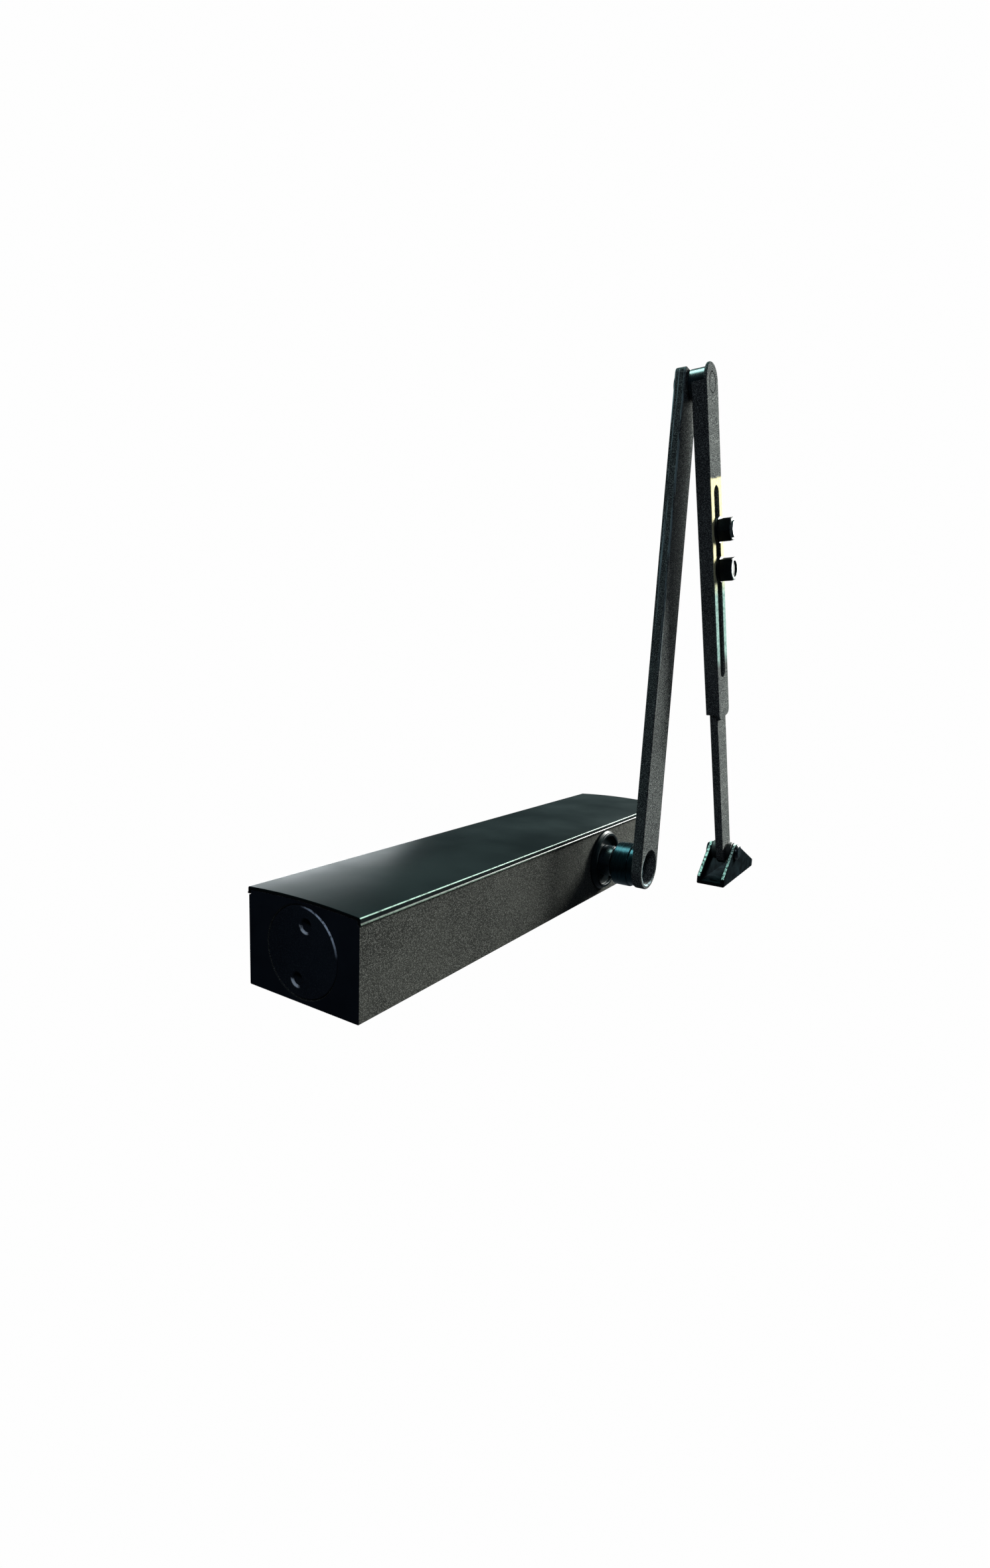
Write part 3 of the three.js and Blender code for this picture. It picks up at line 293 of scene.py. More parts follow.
def settle(piece):
    """Applies a piece's modifiers to its mesh."""
    graph = bpy.context.evaluated_depsgraph_get()
    made = bpy.data.meshes.new_from_object(piece.evaluated_get(graph))
    piece.modifiers.clear()
    piece.data = made
    return piece


def combine(operation, piece, *tools):
    for tool in tools:
        step = piece.modifiers.new("step", "BOOLEAN")
        step.operation = operation
        step.solver = "EXACT"
        step.object = tool
        settle(piece)
        bpy.data.objects.remove(tool)
    return piece


def cut(piece, *tools):
    return combine("DIFFERENCE", piece, *tools)


def join(piece, *tools):
    return combine("UNION", piece, *tools)


def common(piece, *tools):
    return combine("INTERSECT", piece, *tools)


def bevel(piece, width=EDGE, steps=3, angle=35):
    step = piece.modifiers.new("bevel", "BEVEL")
    step.width = width
    step.segments = steps
    step.limit_method = "ANGLE"
    step.angle_limit = math.radians(angle)
    step.use_clamp_overlap = True
    return settle(piece)


def drill(radius, low, high, place=ROW, chamfer=0.0, mouth="low", sides=ROUND):
    """A cutter for a round hole along Y, flared by chamfer where it breaks out."""
    past = 1 * MM
    profile = [(0, low), (radius, low), (radius, high), (0, high)]
    if chamfer and mouth == "low":
        flare = radius + chamfer + past
        profile = [(0, low - past), (flare, low - past), (radius, low + chamfer)]
        profile += [(radius, high), (0, high)]
    elif chamfer:
        flare = radius + chamfer + past
        profile = [(0, low), (radius, low), (radius, high - chamfer)]
        profile += [(flare, high + past), (0, high + past)]
    return turned("drill", profile, place, sides)


def finish(piece, body, slot, material, *nodes):
    """Dresses a piece, seats it on its body and lets it stand for its CAD nodes."""
    piece.data.materials.clear()
    piece.data.materials.append(material)
    piece.data.shade_smooth()
    even = piece.modifiers.new("even", "WEIGHTED_NORMAL")
    even.keep_sharp = True
    even.weight = 80
    piece.data.set_sharp_from_angle(angle=math.radians(40))
    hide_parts(*nodes)
    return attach(piece, body)


# ---------------------------------------------------------------- materials

class Shader:
    """A Principled material with short ways to add and join nodes."""

    def __init__(self, name, **constants):
        self.material = bpy.data.materials.new(name)
        self.material.use_nodes = True
        self.nodes = self.material.node_tree.nodes
        self.links = self.material.node_tree.links
        self.base = self.nodes["Principled BSDF"]
        for socket, value in constants.items():
            self.base.inputs[socket.replace("_", " ")].default_value = value
        source = self.nodes.new("ShaderNodeTexCoord")
        source.name = "place"
        self.place = source.outputs["Object"]

    def node(self, kind, output, settings=None, **inputs):
        made = self.nodes.new("ShaderNode" + kind)
        for key, value in (settings or {}).items():
            setattr(made, key, value)
        for key, value in inputs.items():
            socket = made.inputs[int(key[1:])] if key[1:].isdigit() else made.inputs[key]
            if hasattr(value, "links"):
                self.links.new(value, socket)
            else:
                socket.default_value = value
        return made.outputs[output]

    def noise(self, size, detail=3.0, roughness=0.5, place=None):
        """Noise whose features are about size metres across, from 0 to 1."""
        source = self.place if place is None else place
        return self.node(
            "TexNoise", 0, None, Vector=source, Scale=1 / size, Detail=detail, Roughness=roughness
        )

    def stretched(self, x, y, z):
        """Object coordinates scaled along each axis, for directional grain."""
        return self.node("Mapping", 0, None, Vector=self.place, Scale=(x, y, z))

    def ramp(self, value, start, end, low=0.0, high=1.0):
        span = {"_1": start, "_2": end, "_3": low, "_4": high}
        return self.node("MapRange", 0, {"clamp": True}, Value=value, **span)

    def blend(self, factor, first, second):
        made = self.nodes.new("ShaderNodeMix")
        made.data_type = "RGBA"
        for index, value in ((0, factor), (6, first), (7, second)):
            if hasattr(value, "links"):
                self.links.new(value, made.inputs[index])
            else:
                made.inputs[index].default_value = value
        return made.outputs[2]

    def math(self, operation, a, b):
        return self.node("Math", 0, {"operation": operation}, _0=a, _1=b)

    def set(self, socket, value):
        self.links.new(value, self.base.inputs[socket])

    def now(self, socket):
        """What feeds a socket: another socket, or its constant."""
        entry = self.base.inputs[socket]
        return entry.links[0].from_socket if entry.links else entry.default_value

    def dot(self, first, second):
        return self.node("VectorMath", 1, {"operation": "DOT_PRODUCT"}, _0=first, _1=second)

    def distance(self, axis, origin=(0, 0, 0)):
        """Distance in metres along an axis from a point."""
        axis = Vector(axis).normalized()
        reach = self.dot(self.place, tuple(axis))
        return self.math("SUBTRACT", reach, axis.dot(Vector(origin)))

    def all_of(self, *masks):
        """Where every mask holds."""
        held = masks[0]
        for mask in masks[1:]:
            held = self.math("MULTIPLY", held, mask)
        return held

    def radius(self, centre, first, second):
        """Distance from a centre in the plane of two axes."""
        u = self.distance(first, centre)
        v = self.distance(second, centre)
        squares = self.math("ADD", self.math("MULTIPLY", u, u), self.math("MULTIPLY", v, v))
        return self.math("POWER", squares, 0.5)

    def fade(self, factor, first, second):
        return self.node("Mix", 0, {"data_type": "FLOAT"}, _0=factor, _2=first, _3=second)

    def layer(self, mask, colour, roughness=0.4, metallic=0.0):
        """Lays another finish over the present one where the mask is 1."""
        self.set("Base Color", self.blend(mask, self.now("Base Color"), colour))
        self.set("Roughness", self.fade(mask, self.now("Roughness"), roughness))
        self.set("Metallic", self.fade(mask, self.now("Metallic"), metallic))

    def bump(self, height, distance):
        normal = self.node("Bump", 0, None, Height=height, Distance=distance, Strength=1.0)
        self.set("Normal", normal)


def rgb(red, green, blue):
    """A colour given in sRGB, 0 to 255, as linear RGBA."""
    channels = []
    for value in (red, green, blue):
        share = value / 255
        channels.append(share / 12.92 if share <= 0.04045 else ((share + 0.055) / 1.055) ** 2.4)
    return (*channels, 1.0)


def coat(name, colours, relief=0.03 * MM):
    """Textured powder coat: fine orange peel, paler flakes and slow clouds of colour."""
    dark, light, flake = colours
    s = Shader(name, Specular_IOR_Level=0.0)
    grain = 0.75 * MM
    peel = s.noise(grain, detail=4, roughness=0.62)
    fleck = s.noise(grain * 0.55, detail=2)
    cloud = s.noise(26 * MM, detail=3, roughness=0.55)
    speckle = s.ramp(fleck, 0.50, 0.66)
    tone = s.blend(s.ramp(cloud, 0.35, 0.68), dark, light)
    s.set("Base Color", s.blend(speckle, tone, flake))
    s.set("Roughness", s.ramp(peel, 0.3, 0.7, 0.5, 0.7))
    s.bump(peel, relief)
    return s


def satin(name, dark, light):
    """Sprayed satin paint with a faint orange peel and slow changes of tone."""
    s = Shader(name, Specular_IOR_Level=0.04)
    cloud = s.noise(40 * MM, detail=3)
    peel = s.noise(1.6 * MM, detail=3, roughness=0.6)
    s.set("Base Color", s.blend(s.ramp(cloud, 0.35, 0.68), dark, light))
    s.set("Roughness", s.ramp(cloud, 0.3, 0.7, 0.3, 0.42))
    s.bump(peel, 0.01 * MM)
    return s


def oxide(name, dark, light, roughness=(0.2, 0.34), metallic=0.35, sheen=0.4):
    """Oiled black oxide on steel: glossy, with a fine turned grain and a blue-green cast."""
    s = Shader(name, Metallic=metallic, Specular_IOR_Level=sheen)
    cloud = s.noise(6 * MM, detail=4, roughness=0.6)
    pits = s.noise(0.7 * MM, detail=3, roughness=0.6)
    s.set("Base Color", s.blend(s.ramp(cloud, 0.35, 0.7), dark, light))
    s.set("Roughness", s.ramp(pits, 0.3, 0.7, *roughness))
    s.bump(pits, 0.012 * MM)
    return s


def bare_metal(name, dark, light, grain=(40, 1500, 1500)):
    """Machined metal with a directional grain and slight staining."""
    s = Shader(name, Metallic=1.0)
    lines = s.noise(1.0, detail=3, roughness=0.6, place=s.stretched(*grain))
    stain = s.noise(9 * MM, detail=4, roughness=0.6)
    s.set("Base Color", s.blend(s.ramp(stain, 0.35, 0.7), dark, light))
    s.set("Roughness", s.ramp(lines, 0.3, 0.7, 0.22, 0.4))
    s.bump(lines, 0.006 * MM)
    return s.material


def moulded(name, dark, light):
    """Moulded rubber or nylon: dull, with a fine spark-eroded grain."""
    s = Shader(name, Specular_IOR_Level=0.4)
    grain = s.noise(0.8 * MM, detail=3, roughness=0.6)
    cloud = s.noise(12 * MM, detail=2)
    s.set("Base Color", s.blend(s.ramp(cloud, 0.35, 0.7), dark, light))
    s.set("Roughness", s.ramp(grain, 0.3, 0.7, 0.45, 0.62))
    s.bump(grain, 0.02 * MM)
    return s.material


ARM_COLOURS = (rgb(38, 40, 42), rgb(54, 56, 57), rgb(128, 132, 130))
BODY_COLOURS = (rgb(38, 39, 38), rgb(50, 51, 49), rgb(92, 93, 90))
PLUG_COLOURS = (rgb(27, 31, 38), rgb(36, 41, 48), rgb(46, 51, 58))
ARM_PAINT = coat("arm_powder_coat", ARM_COLOURS).material
OXIDE = oxide("black_oxide", rgb(16, 22, 26), rgb(34, 48, 54)).material
DULL_OXIDE = oxide(
    "dull_black_oxide", rgb(9, 13, 15), rgb(18, 26, 29), (0.3, 0.45), metallic=0.0, sheen=0.04
).material
STEEL = bare_metal("bright_steel", rgb(150, 152, 150), rgb(198, 200, 196))
BRONZE = bare_metal("bearing_bronze", rgb(140, 98, 52), rgb(186, 142, 84))
SPRING = bare_metal("spring_steel", rgb(58, 60, 64), rgb(92, 94, 98), grain=(900, 900, 900))
RUBBER = moulded("seal_rubber", rgb(14, 14, 14), rgb(26, 26, 26))
NYLON = moulded("black_nylon", rgb(22, 25, 25), rgb(34, 38, 38))


# ---------------------------------------------------------------- body

plug_low, plug_high = extent("end_plug_plain")
body_low, body_high = extent("housing")
cover_low, cover_high = extent("front_cover")
valve_low, valve_high = extent("closing_valve")
collar_low, collar_high = extent("collar_arm_side")

BORE_Z = (plug_low.z + plug_high.z) / 2
PLUG_RADIUS = (plug_high.z - plug_low.z) / 2
HALF_LENGTH = body_high.x
HALF_WIDTH = body_high.y
SPINDLE_X = joint_point("spindle_turn").x
BORE = Matrix.Translation((0, 0, BORE_Z)) @ ALONG_X


def crown_height(y):
    return cover_high.z - CROWN * (y / cover_high.y) ** 2


def crown(half, drop, steps=24):
    """The cover's crowned line from -half to +half, lowered by drop."""
    stations = [half * (2 * i / steps - 1) for i in range(steps + 1)]
    return [(y, crown_height(y) - drop) for y in stations]


def make_body_finish():
    """The body's powder coat, smoother on the machined ends and darkened there to the plug's tone as
    painted shade.
    """
    s = coat("body_powder_coat", BODY_COLOURS)
    from_middle = s.math("ABSOLUTE", s.distance((1, 0, 0)), 0.0)
    end_shade = s.ramp(from_middle, HALF_LENGTH - 0.25 * MM, HALF_LENGTH - 0.1 * MM)
    cloud = s.ramp(s.noise(20 * MM, detail=3), 0.35, 0.68)
    # painted shade: both end faces take the plug's darker tone
    s.layer(end_shade, s.blend(cloud, *PLUG_COLOURS[:2]), 0.55)
    return s.material


def make_body():
    rebate = cover_high.y - COVER_SHEET - GAP
    ledge = cover_low.z - GAP
    under_cover = [(y, z, 0) for y, z in crown(rebate, COVER_SHEET + GAP)]
    outline = rounded([
        (HALF_WIDTH, 0, 0.5 * MM),
        (-HALF_WIDTH, 0, 0.5 * MM),
        (-HALF_WIDTH, ledge, 0.3 * MM),
        (-rebate, ledge, 0),
        *under_cover,
        (rebate, ledge, 0),
        (HALF_WIDTH, ledge, 0.3 * MM),
    ], closed=True)
    body = prism("body_casting", outline, -HALF_LENGTH, HALF_LENGTH, ALONG_X)
    bevel(body, FINE_EDGE, angle=60)
    end = HALF_LENGTH
    plug_seat = PLUG_RADIUS + GAP * 0.7
    collar_seat = COLLAR_THREAD + GAP
    past = 2 * MM
    through = [(0, -end - past), (BORE_RADIUS, -end - past), (BORE_RADIUS, end + past), (0, end + past)]
    cut(
        body,
        turned("bore", through, BORE),
        drill(plug_seat, -end, -end + PLUG_THREAD, BORE, 0.5 * MM, "low"),
        drill(plug_seat, end - PLUG_THREAD, end, BORE, 0.5 * MM, "high"),
        drill(SPINDLE_BORE, -HALF_WIDTH - past, HALF_WIDTH + past, SPINDLE),
        drill(collar_seat, -HALF_WIDTH - past, -HALF_WIDTH + COLLAR_THREAD_DEPTH, SPINDLE),
        drill(collar_seat, HALF_WIDTH - COLLAR_THREAD_DEPTH, HALF_WIDTH + past, SPINDLE),
    )
    for side in (-1, 1):
        y = side * (valve_low.y + valve_high.y) / -2
        bore = Matrix.Translation((0, y, BORE_Z)) @ ALONG_X
        cut(body, drill(VALVE_BORE, end - VALVE_BORE_DEPTH, end, bore, 0.4 * MM, "high", 48))
        for way in (-1, 1):
            x = way * (end - FIXING_INSET_X)
            at = Matrix.Translation((x, side * (HALF_WIDTH - FIXING_INSET_Y), 0))
            upright = at @ Matrix.Rotation(math.pi / 2, 4, "X")
            top = body_high.z
            cut(
                body,
                drill(FIXING_HOLE, 0, top + past, upright, 0.5 * MM, "low", 40),
                drill(FIXING_HEAD, top - FIXING_HEAD_DEPTH, top + past, upright, sides=48),
            )
    return finish(body, "housing", "body_paint", make_body_finish(), "housing")


def make_cover_finish(half, edge):
    """Satin paint, with painted highlights along the cover's two bent edges and its rolled hems."""
    s = satin("cover_paint", rgb(15, 20, 21), rgb(20, 26, 27))
    across = s.math("ABSOLUTE", s.distance((0, 1, 0)), 0.0)
    along = s.distance((1, 0, 0))
    height = s.distance((0, 0, 1))
    highlight_patches = s.ramp(s.noise(2.6 * MM, detail=4, roughness=0.65), 0.34, 0.52, 0.25, 1.0)
    # painted highlight on the rounding of both bent edges, in patches, stronger towards -X
    bend_highlight = s.all_of(
        s.ramp(across, half - 0.5 * MM, half - 0.3 * MM),
        s.ramp(height, edge - 0.5 * MM, edge - 0.3 * MM),
        s.ramp(along, HALF_LENGTH, -HALF_LENGTH, 0.35, 1.0),
        highlight_patches,
    )
    s.layer(bend_highlight, rgb(132, 158, 146))
    # painted highlight on both rolled hems, in patches, fading out towards +X
    hem = s.all_of(
        s.ramp(across, half + 0.12 * MM, half + 0.24 * MM),
        s.ramp(along, 0.3 * HALF_LENGTH, -0.7 * HALF_LENGTH, 0.05, 1.0),
        highlight_patches,
    )
    s.layer(hem, rgb(104, 120, 110))
    return s.material


def make_cover():
    half = cover_high.y
    inner = half - COVER_SHEET
    foot = cover_low.z
    top_edge = crown_height(half)
    outer = [(y, z, 0) for y, z in crown(half * 0.97, 0)]
    lining = [(y, z, 0) for y, z in reversed(crown(inner * 0.98, COVER_SHEET))]
    hem = HEM
    outline = rounded([
        (-half, foot + 3 * hem, 0),
        (-half, top_edge, COVER_EDGE_RADIUS),
        *outer,
        (half, top_edge, COVER_EDGE_RADIUS),
        (half, foot + 3 * hem, 0),
        (half + hem, foot + 2 * hem, hem * 0.6),
        (half + hem, foot, hem * 0.6),
        (inner, foot, 0.15 * MM),
        (inner, top_edge - COVER_SHEET, 0.4 * MM),
        *lining,
        (-inner, top_edge - COVER_SHEET, 0.4 * MM),
        (-inner, foot, 0.15 * MM),
        (-half - hem, foot, hem * 0.6),
        (-half - hem, foot + 2 * hem, hem * 0.6),
    ], closed=True)
    cover = prism("cover_shell", outline, cover_low.x, cover_high.x, ALONG_X)
    bevel(cover, FINE_EDGE, angle=60)
    paint = make_cover_finish(half, top_edge)
    return finish(cover, "housing", "cover_paint", paint, "front_cover")


def make_plug_finish(name, end_x, holes):
    """Darker, smoother powder coat, with painted highlights on the rim and on the lower side of each
    spanner hole's mouth.
    """
    s = coat(name, PLUG_COLOURS, relief=0.015 * MM)
    axis = Vector((0, 0, BORE_Z))
    outward = (1 if end_x > 0 else -1, 0, 0)
    face = s.ramp(s.distance(outward, (end_x, 0, 0)), -0.9 * MM, -0.8 * MM)
    highlight_patches = s.ramp(s.noise(2 * MM, detail=3), 0.3, 0.5)
    from_axis = s.radius(axis, (0, 1, 0), (0, 0, 1))
    rim = s.ramp(from_axis, PLUG_RADIUS - 0.55 * MM, PLUG_RADIUS - 0.35 * MM)
    # painted highlights on the rim: a bright arc on the upper -Y side and a dimmer one on the lower +Y
    # side
    for way, start, full, colour in (
        ((0, -0.66, 0.75), 0.72, 0.97, rgb(226, 238, 255)),
        ((0, 0.6, -0.8), 0.82, 0.97, rgb(110, 122, 140)),
    ):
        side = s.ramp(s.distance(way, axis), start * PLUG_RADIUS, full * PLUG_RADIUS)
        s.layer(s.all_of(face, rim, side, highlight_patches), colour)
    # painted highlight on the lower side of each spanner hole's mouth
    for hole in holes:
        mouth = s.radius(hole, (0, 1, 0), (0, 0, 1))
        ring = s.all_of(
            s.ramp(mouth, SPANNER_HOLE + 0.75 * MM, SPANNER_HOLE + 0.35 * MM),
            s.ramp(mouth, SPANNER_HOLE - 0.45 * MM, SPANNER_HOLE - 0.25 * MM),
        )
        low_side = s.ramp(s.distance((0, 0.5, -0.86), hole), 1.6 * MM, 2.5 * MM)
        s.layer(s.all_of(face, ring, low_side, highlight_patches), rgb(240, 246, 255))
    return s.material


def make_plug(name, side, node):
    end = HALF_LENGTH
    inner = end - PLUG_THREAD - PLUG_SPIGOT
    spigot = BORE_RADIUS - GAP
    ring = inner + 4 * MM
    profile = rounded([
        (0, inner, 0),
        (spigot, inner, EDGE),
        (spigot, ring - PLUG_RING_HALF, 0),
        (spigot - PLUG_RING_DEPTH, ring - PLUG_RING_HALF, 0),
        (spigot - PLUG_RING_DEPTH, ring + PLUG_RING_HALF, 0),
        (spigot, ring + PLUG_RING_HALF, 0),
        (spigot, end - PLUG_THREAD + 0.1 * MM, 0),
        (PLUG_RADIUS, end - PLUG_THREAD + 0.1 * MM, EDGE),
        (PLUG_RADIUS, end, 0.7 * MM),
        (0, end, 0),
    ])
    flip = ROW if side > 0 else Matrix.Rotation(math.pi, 4, "Z")
    place = Matrix.Translation((0, 0, BORE_Z)) @ flip @ ALONG_X
    plug = turned(name, profile, place, sides=128)
    holes = []
    for way in (-1, 1):
        y = way * SPANNER_PITCH * math.sin(PLUG_TURN) * side
        z = way * SPANNER_PITCH * math.cos(PLUG_TURN)
        holes.append(Vector((0, y, BORE_Z + z)))
        hole = Matrix.Translation(holes[-1]) @ flip @ ALONG_X
        radius = SPANNER_HOLE - 0.2 * MM
        cut(plug, drill(radius, end - SPANNER_DEPTH, end, hole, 0.45 * MM, "high", 64))
    paint = make_plug_finish(name + "_finish", side * end, holes)
    return finish(plug, "housing", "body_paint", paint, node)


# ---------------------------------------------------------------- collars, cap and valves

def make_collar(name, side, node):
    seat = HALF_WIDTH + 0.1 * MM
    # Known fault: the cap side takes the inner end here, so that ring stands flush with the body.
    top = -collar_high.y if side > 0 else -collar_low.y
    base = (collar_high.x - collar_low.x) / 2
    rim = base - COLLAR_FLARE
    bore = JOURNAL_RADIUS + GAP
    inner = rim - COLLAR_RIM_WIDTH
    floor = top - COLLAR_RECESS
    profile = rounded([
        (bore, HALF_WIDTH - 2 * MM, 0),
        (COLLAR_LIP, HALF_WIDTH - 2 * MM, 0),
        (COLLAR_LIP, HALF_WIDTH - COLLAR_THREAD_DEPTH, 0),
        (COLLAR_THREAD, HALF_WIDTH - COLLAR_THREAD_DEPTH, 0),
        (COLLAR_THREAD, seat, 0),
        (base, seat, 0.15 * MM),
        (base, seat + 1.2 * MM, 0.4 * MM),
        (rim + 0.2 * MM, top - 0.9 * MM, 0.3 * MM),
        (rim, top, 0.45 * MM),
        (inner, top, 0.3 * MM),
        (inner, floor, 0.3 * MM),
        (bore, floor, 0.25 * MM),
    ], closed=True)
    profile = [(radius, side * y) for radius, y in profile]
    collar = turned(name, profile, SPINDLE)
    ring = (inner + bore) / 2
    for way in (-1, 1):
        angle = math.pi / 5
        offset = Matrix.Translation((way * ring * math.cos(angle), 0, way * ring * math.sin(angle)))
        low, high = sorted((side * (floor - 1.2 * MM), side * (top + 1 * MM)))
        cut(collar, drill(NOTCH_RADIUS, low, high, SPINDLE @ offset, sides=32))
    return finish(collar, "housing", "black_oxide", DULL_OXIDE, node)


def make_spindle_cap():
    low, high = extent("spindle_cap", SPINDLE)
    radius = high.x
    wall = 1.5 * MM
    profile = rounded([
        (0, high.y - wall, 0),
        (radius - wall, high.y - wall, 0.5 * MM),
        (radius - wall, low.y, 0),
        (radius, low.y, 0.2 * MM),
        (radius, high.y, 1.4 * MM),
        (3 * MM, high.y, 0.6 * MM),
        (2.4 * MM, high.y - 0.5 * MM, 0.4 * MM),
        (0, high.y - 0.5 * MM, 0),
    ], steps=7)
    cap = turned("spindle_cap_moulding", profile, SPINDLE)
    return finish(cap, "housing", "nylon", NYLON, "spindle_cap")


def make_valve(name, node, body):
    low, high = extent(node)
    y = (low.y + high.y) / 2
    radius = (high.y - low.y) / 2
    ring = (low.x + high.x) / 2
    profile = rounded([
        (0, low.x, 0),
        (0.7 * MM, low.x + 0.5 * MM, 0.3 * MM),
        (radius - 1.2 * MM, low.x + 5 * MM, 0.5 * MM),
        (radius - 1.2 * MM, low.x + 6 * MM, 0),
        (radius, low.x + 7 * MM, 0.2 * MM),
        (radius, ring - 0.9 * MM, 0),
        (radius - 1.4 * MM, ring - 0.9 * MM, 0),
        (radius - 1.4 * MM, ring + 0.9 * MM, 0),
        (radius, ring + 0.9 * MM, 0),
        (radius, high.x, 0.4 * MM),
        (0, high.x, 0),
    ], steps=4)
    place = Matrix.Translation((0, y, BORE_Z)) @ ALONG_X
    valve = turned(name, profile, place, sides=64)
    reach = radius + 1 * MM
    slot = block(
        "slot",
        (high.x - 1.5 * MM, y - 0.5 * MM, BORE_Z - reach),
        (high.x + 1 * MM, y + 0.5 * MM, BORE_Z + reach),
    )
    cut(valve, slot)
    return finish(valve, body, "bright_steel", STEEL, node)


# ---------------------------------------------------------------- spindle

def involute(angle):
    return math.tan(angle) - angle


def pinion_outline(steps=8):
    pitch = GEAR_MODULE * GEAR_TEETH / 2
    base = pitch * math.cos(PRESSURE_ANGLE)
    tip = pitch + 0.8 * GEAR_MODULE
    root = pitch - GEAR_MODULE
    half = math.pi / (2 * GEAR_TEETH) - 0.3 * MM / (4 * pitch)
    flank = []
    for i in range(steps + 1):
        radius = base + (tip - base) * i / steps
        pressure = math.acos(min(1.0, base / radius))
        flank.append((radius, half + involute(PRESSURE_ANGLE) - involute(pressure)))
    flank.insert(0, (root, flank[0][1]))
    points = []
    for tooth in range(GEAR_TEETH):
        middle = -math.pi / 2 + 2 * math.pi * tooth / GEAR_TEETH
        rising = [(radius, middle - spread) for radius, spread in flank]
        falling = [(radius, middle + spread) for radius, spread in reversed(flank)]
        for radius, angle in rising + falling:
            points.append((radius * math.cos(angle), radius * math.sin(angle)))
    return points


def make_spindle():
    low, high = extent("pinion_spindle", SPINDLE)
    neck_end = extent("main_arm")[1].y + 2 * MM
    free_journal = -collar_low.y - COLLAR_RECESS + 0.2 * MM
    half = SQUARE / 2
    toothed = RACK_HALF + 0.5 * MM
    spindle = prism("spindle_shaft", pinion_outline(), -toothed, toothed, SPINDLE)
    corner = 0.5 * MM
    corners = [(-half, -half), (half, -half), (half, half), (-half, half)]
    square = rounded([(u, v, corner) for u, v in corners], closed=True)
    arm_square = prism("arm_square", square, low.y, neck_end + 1 * MM, SPINDLE)
    free_square = prism("free_square", square, free_journal - 1 * MM, high.y, SPINDLE)
    bevel(arm_square, angle=60)
    bevel(free_square, angle=60)
    arm_journal = rounded([
        (0, neck_end, 0),
        (JOURNAL_RADIUS, neck_end, 0.5 * MM),
        (JOURNAL_RADIUS, -RACK_HALF, 0),
        (0, -RACK_HALF, 0),
    ])
    cap_journal = rounded([
        (0, RACK_HALF, 0),
        (JOURNAL_RADIUS, RACK_HALF, 0),
        (JOURNAL_RADIUS, free_journal, 0.5 * MM),
        (0, free_journal, 0),
    ])
    join(
        spindle,
        turned("arm_journal", arm_journal, SPINDLE),
        turned("cap_journal", cap_journal, SPINDLE),
        arm_square,
        free_square,
    )
    cut(spindle, drill(SCREW_HOLE, low.y, low.y + SCREW_HOLE_DEPTH, SPINDLE, 0.4 * MM, "low", 48))
    return finish(spindle, "spindle", "bright_steel", OXIDE, "pinion_spindle")


# ---------------------------------------------------------------- main arm

arm_low, arm_high = extent("main_arm")
ARM_FRONT = arm_low.y
ARM_BACK = ARM_FRONT + ARM_THICKNESS
ARM_SEAT = ARM_FRONT + ARM_RECESS_DEPTH
HUB_BACK = arm_high.y


def make_arm_finish():
    """The arm's powder coat and bare oiled hub, with painted highlights: on the recess rim, in streaks
    along the upper edge and along its front corner.
    """
    s = coat("main_arm_finish", ARM_COLOURS)
    depth = s.distance((0, 1, 0))
    hub = s.ramp(depth, ARM_BACK + 0.05 * MM, ARM_BACK + 0.15 * MM)
    turned_grain = s.noise(1.0, detail=3, place=s.stretched(250, 1600, 250))
    steel = s.blend(s.ramp(turned_grain, 0.3, 0.8), rgb(20, 34, 40), rgb(34, 56, 62))
    s.layer(hub, steel, s.ramp(turned_grain, 0.3, 0.7, 0.24, 0.3), 0.85)
    # painted highlight on the lower side of the recess rim, in patches
    spindle = Vector((SPINDLE_X, 0, BORE_Z))
    from_axis = s.radius(spindle, (1, 0, 0), (0, 0, 1))
    rim = s.ramp(from_axis, ARM_RECESS + 1.1 * MM, ARM_RECESS + 0.6 * MM)
    low_side = s.ramp(s.distance((-1, 0, -1), spindle), -3 * MM, 7 * MM)
    mouth = s.ramp(depth, ARM_FRONT + 0.8 * MM, ARM_FRONT + 0.5 * MM)
    highlight_patches = s.ramp(s.noise(2.2 * MM, detail=3), 0.36, 0.52)
    rim_highlight = s.all_of(rim, mouth, low_side, highlight_patches)
    s.layer(rim_highlight, rgb(150, 170, 176))
    # painted highlight in streaks on the back half of the arm's upper edge
    elbow = FOREARM.translation
    rise = (elbow - Vector((SPINDLE_X, 0, BORE_Z))) * Vector((1, 0, 1))
    aside = Vector((rise.z, 0, -rise.x)).normalized()
    from_line = s.distance(-aside, elbow)
    height = s.distance((0, 0, 1))
    edge = s.ramp(from_line, 10.1 * MM, 10.4 * MM)
    upper = s.ramp(height, 120 * MM, 235 * MM)
    back_half = s.ramp(depth, ARM_FRONT + 2.8 * MM, ARM_FRONT + 3.3 * MM)
    highlight_streaks = s.ramp(s.noise(1.0, detail=4, place=s.stretched(120, 1500, 28)), 0.55, 0.62)
    highlighted = s.all_of(edge, upper, back_half, highlight_streaks)
    s.layer(highlighted, rgb(150, 166, 172))
    # painted highlight along the front corner of the arm's upper edge
    corner = s.all_of(
        s.ramp(from_line, 9.7 * MM, 10.0 * MM),
        s.ramp(depth, ARM_FRONT + 1.1 * MM, ARM_FRONT + 0.8 * MM),
        s.ramp(height, 110 * MM, 215 * MM),
        s.ramp(s.noise(1.0, detail=4, place=s.stretched(500, 900, 60)), 0.42, 0.54),
    )
    s.layer(corner, rgb(116, 130, 134))
    return s.material


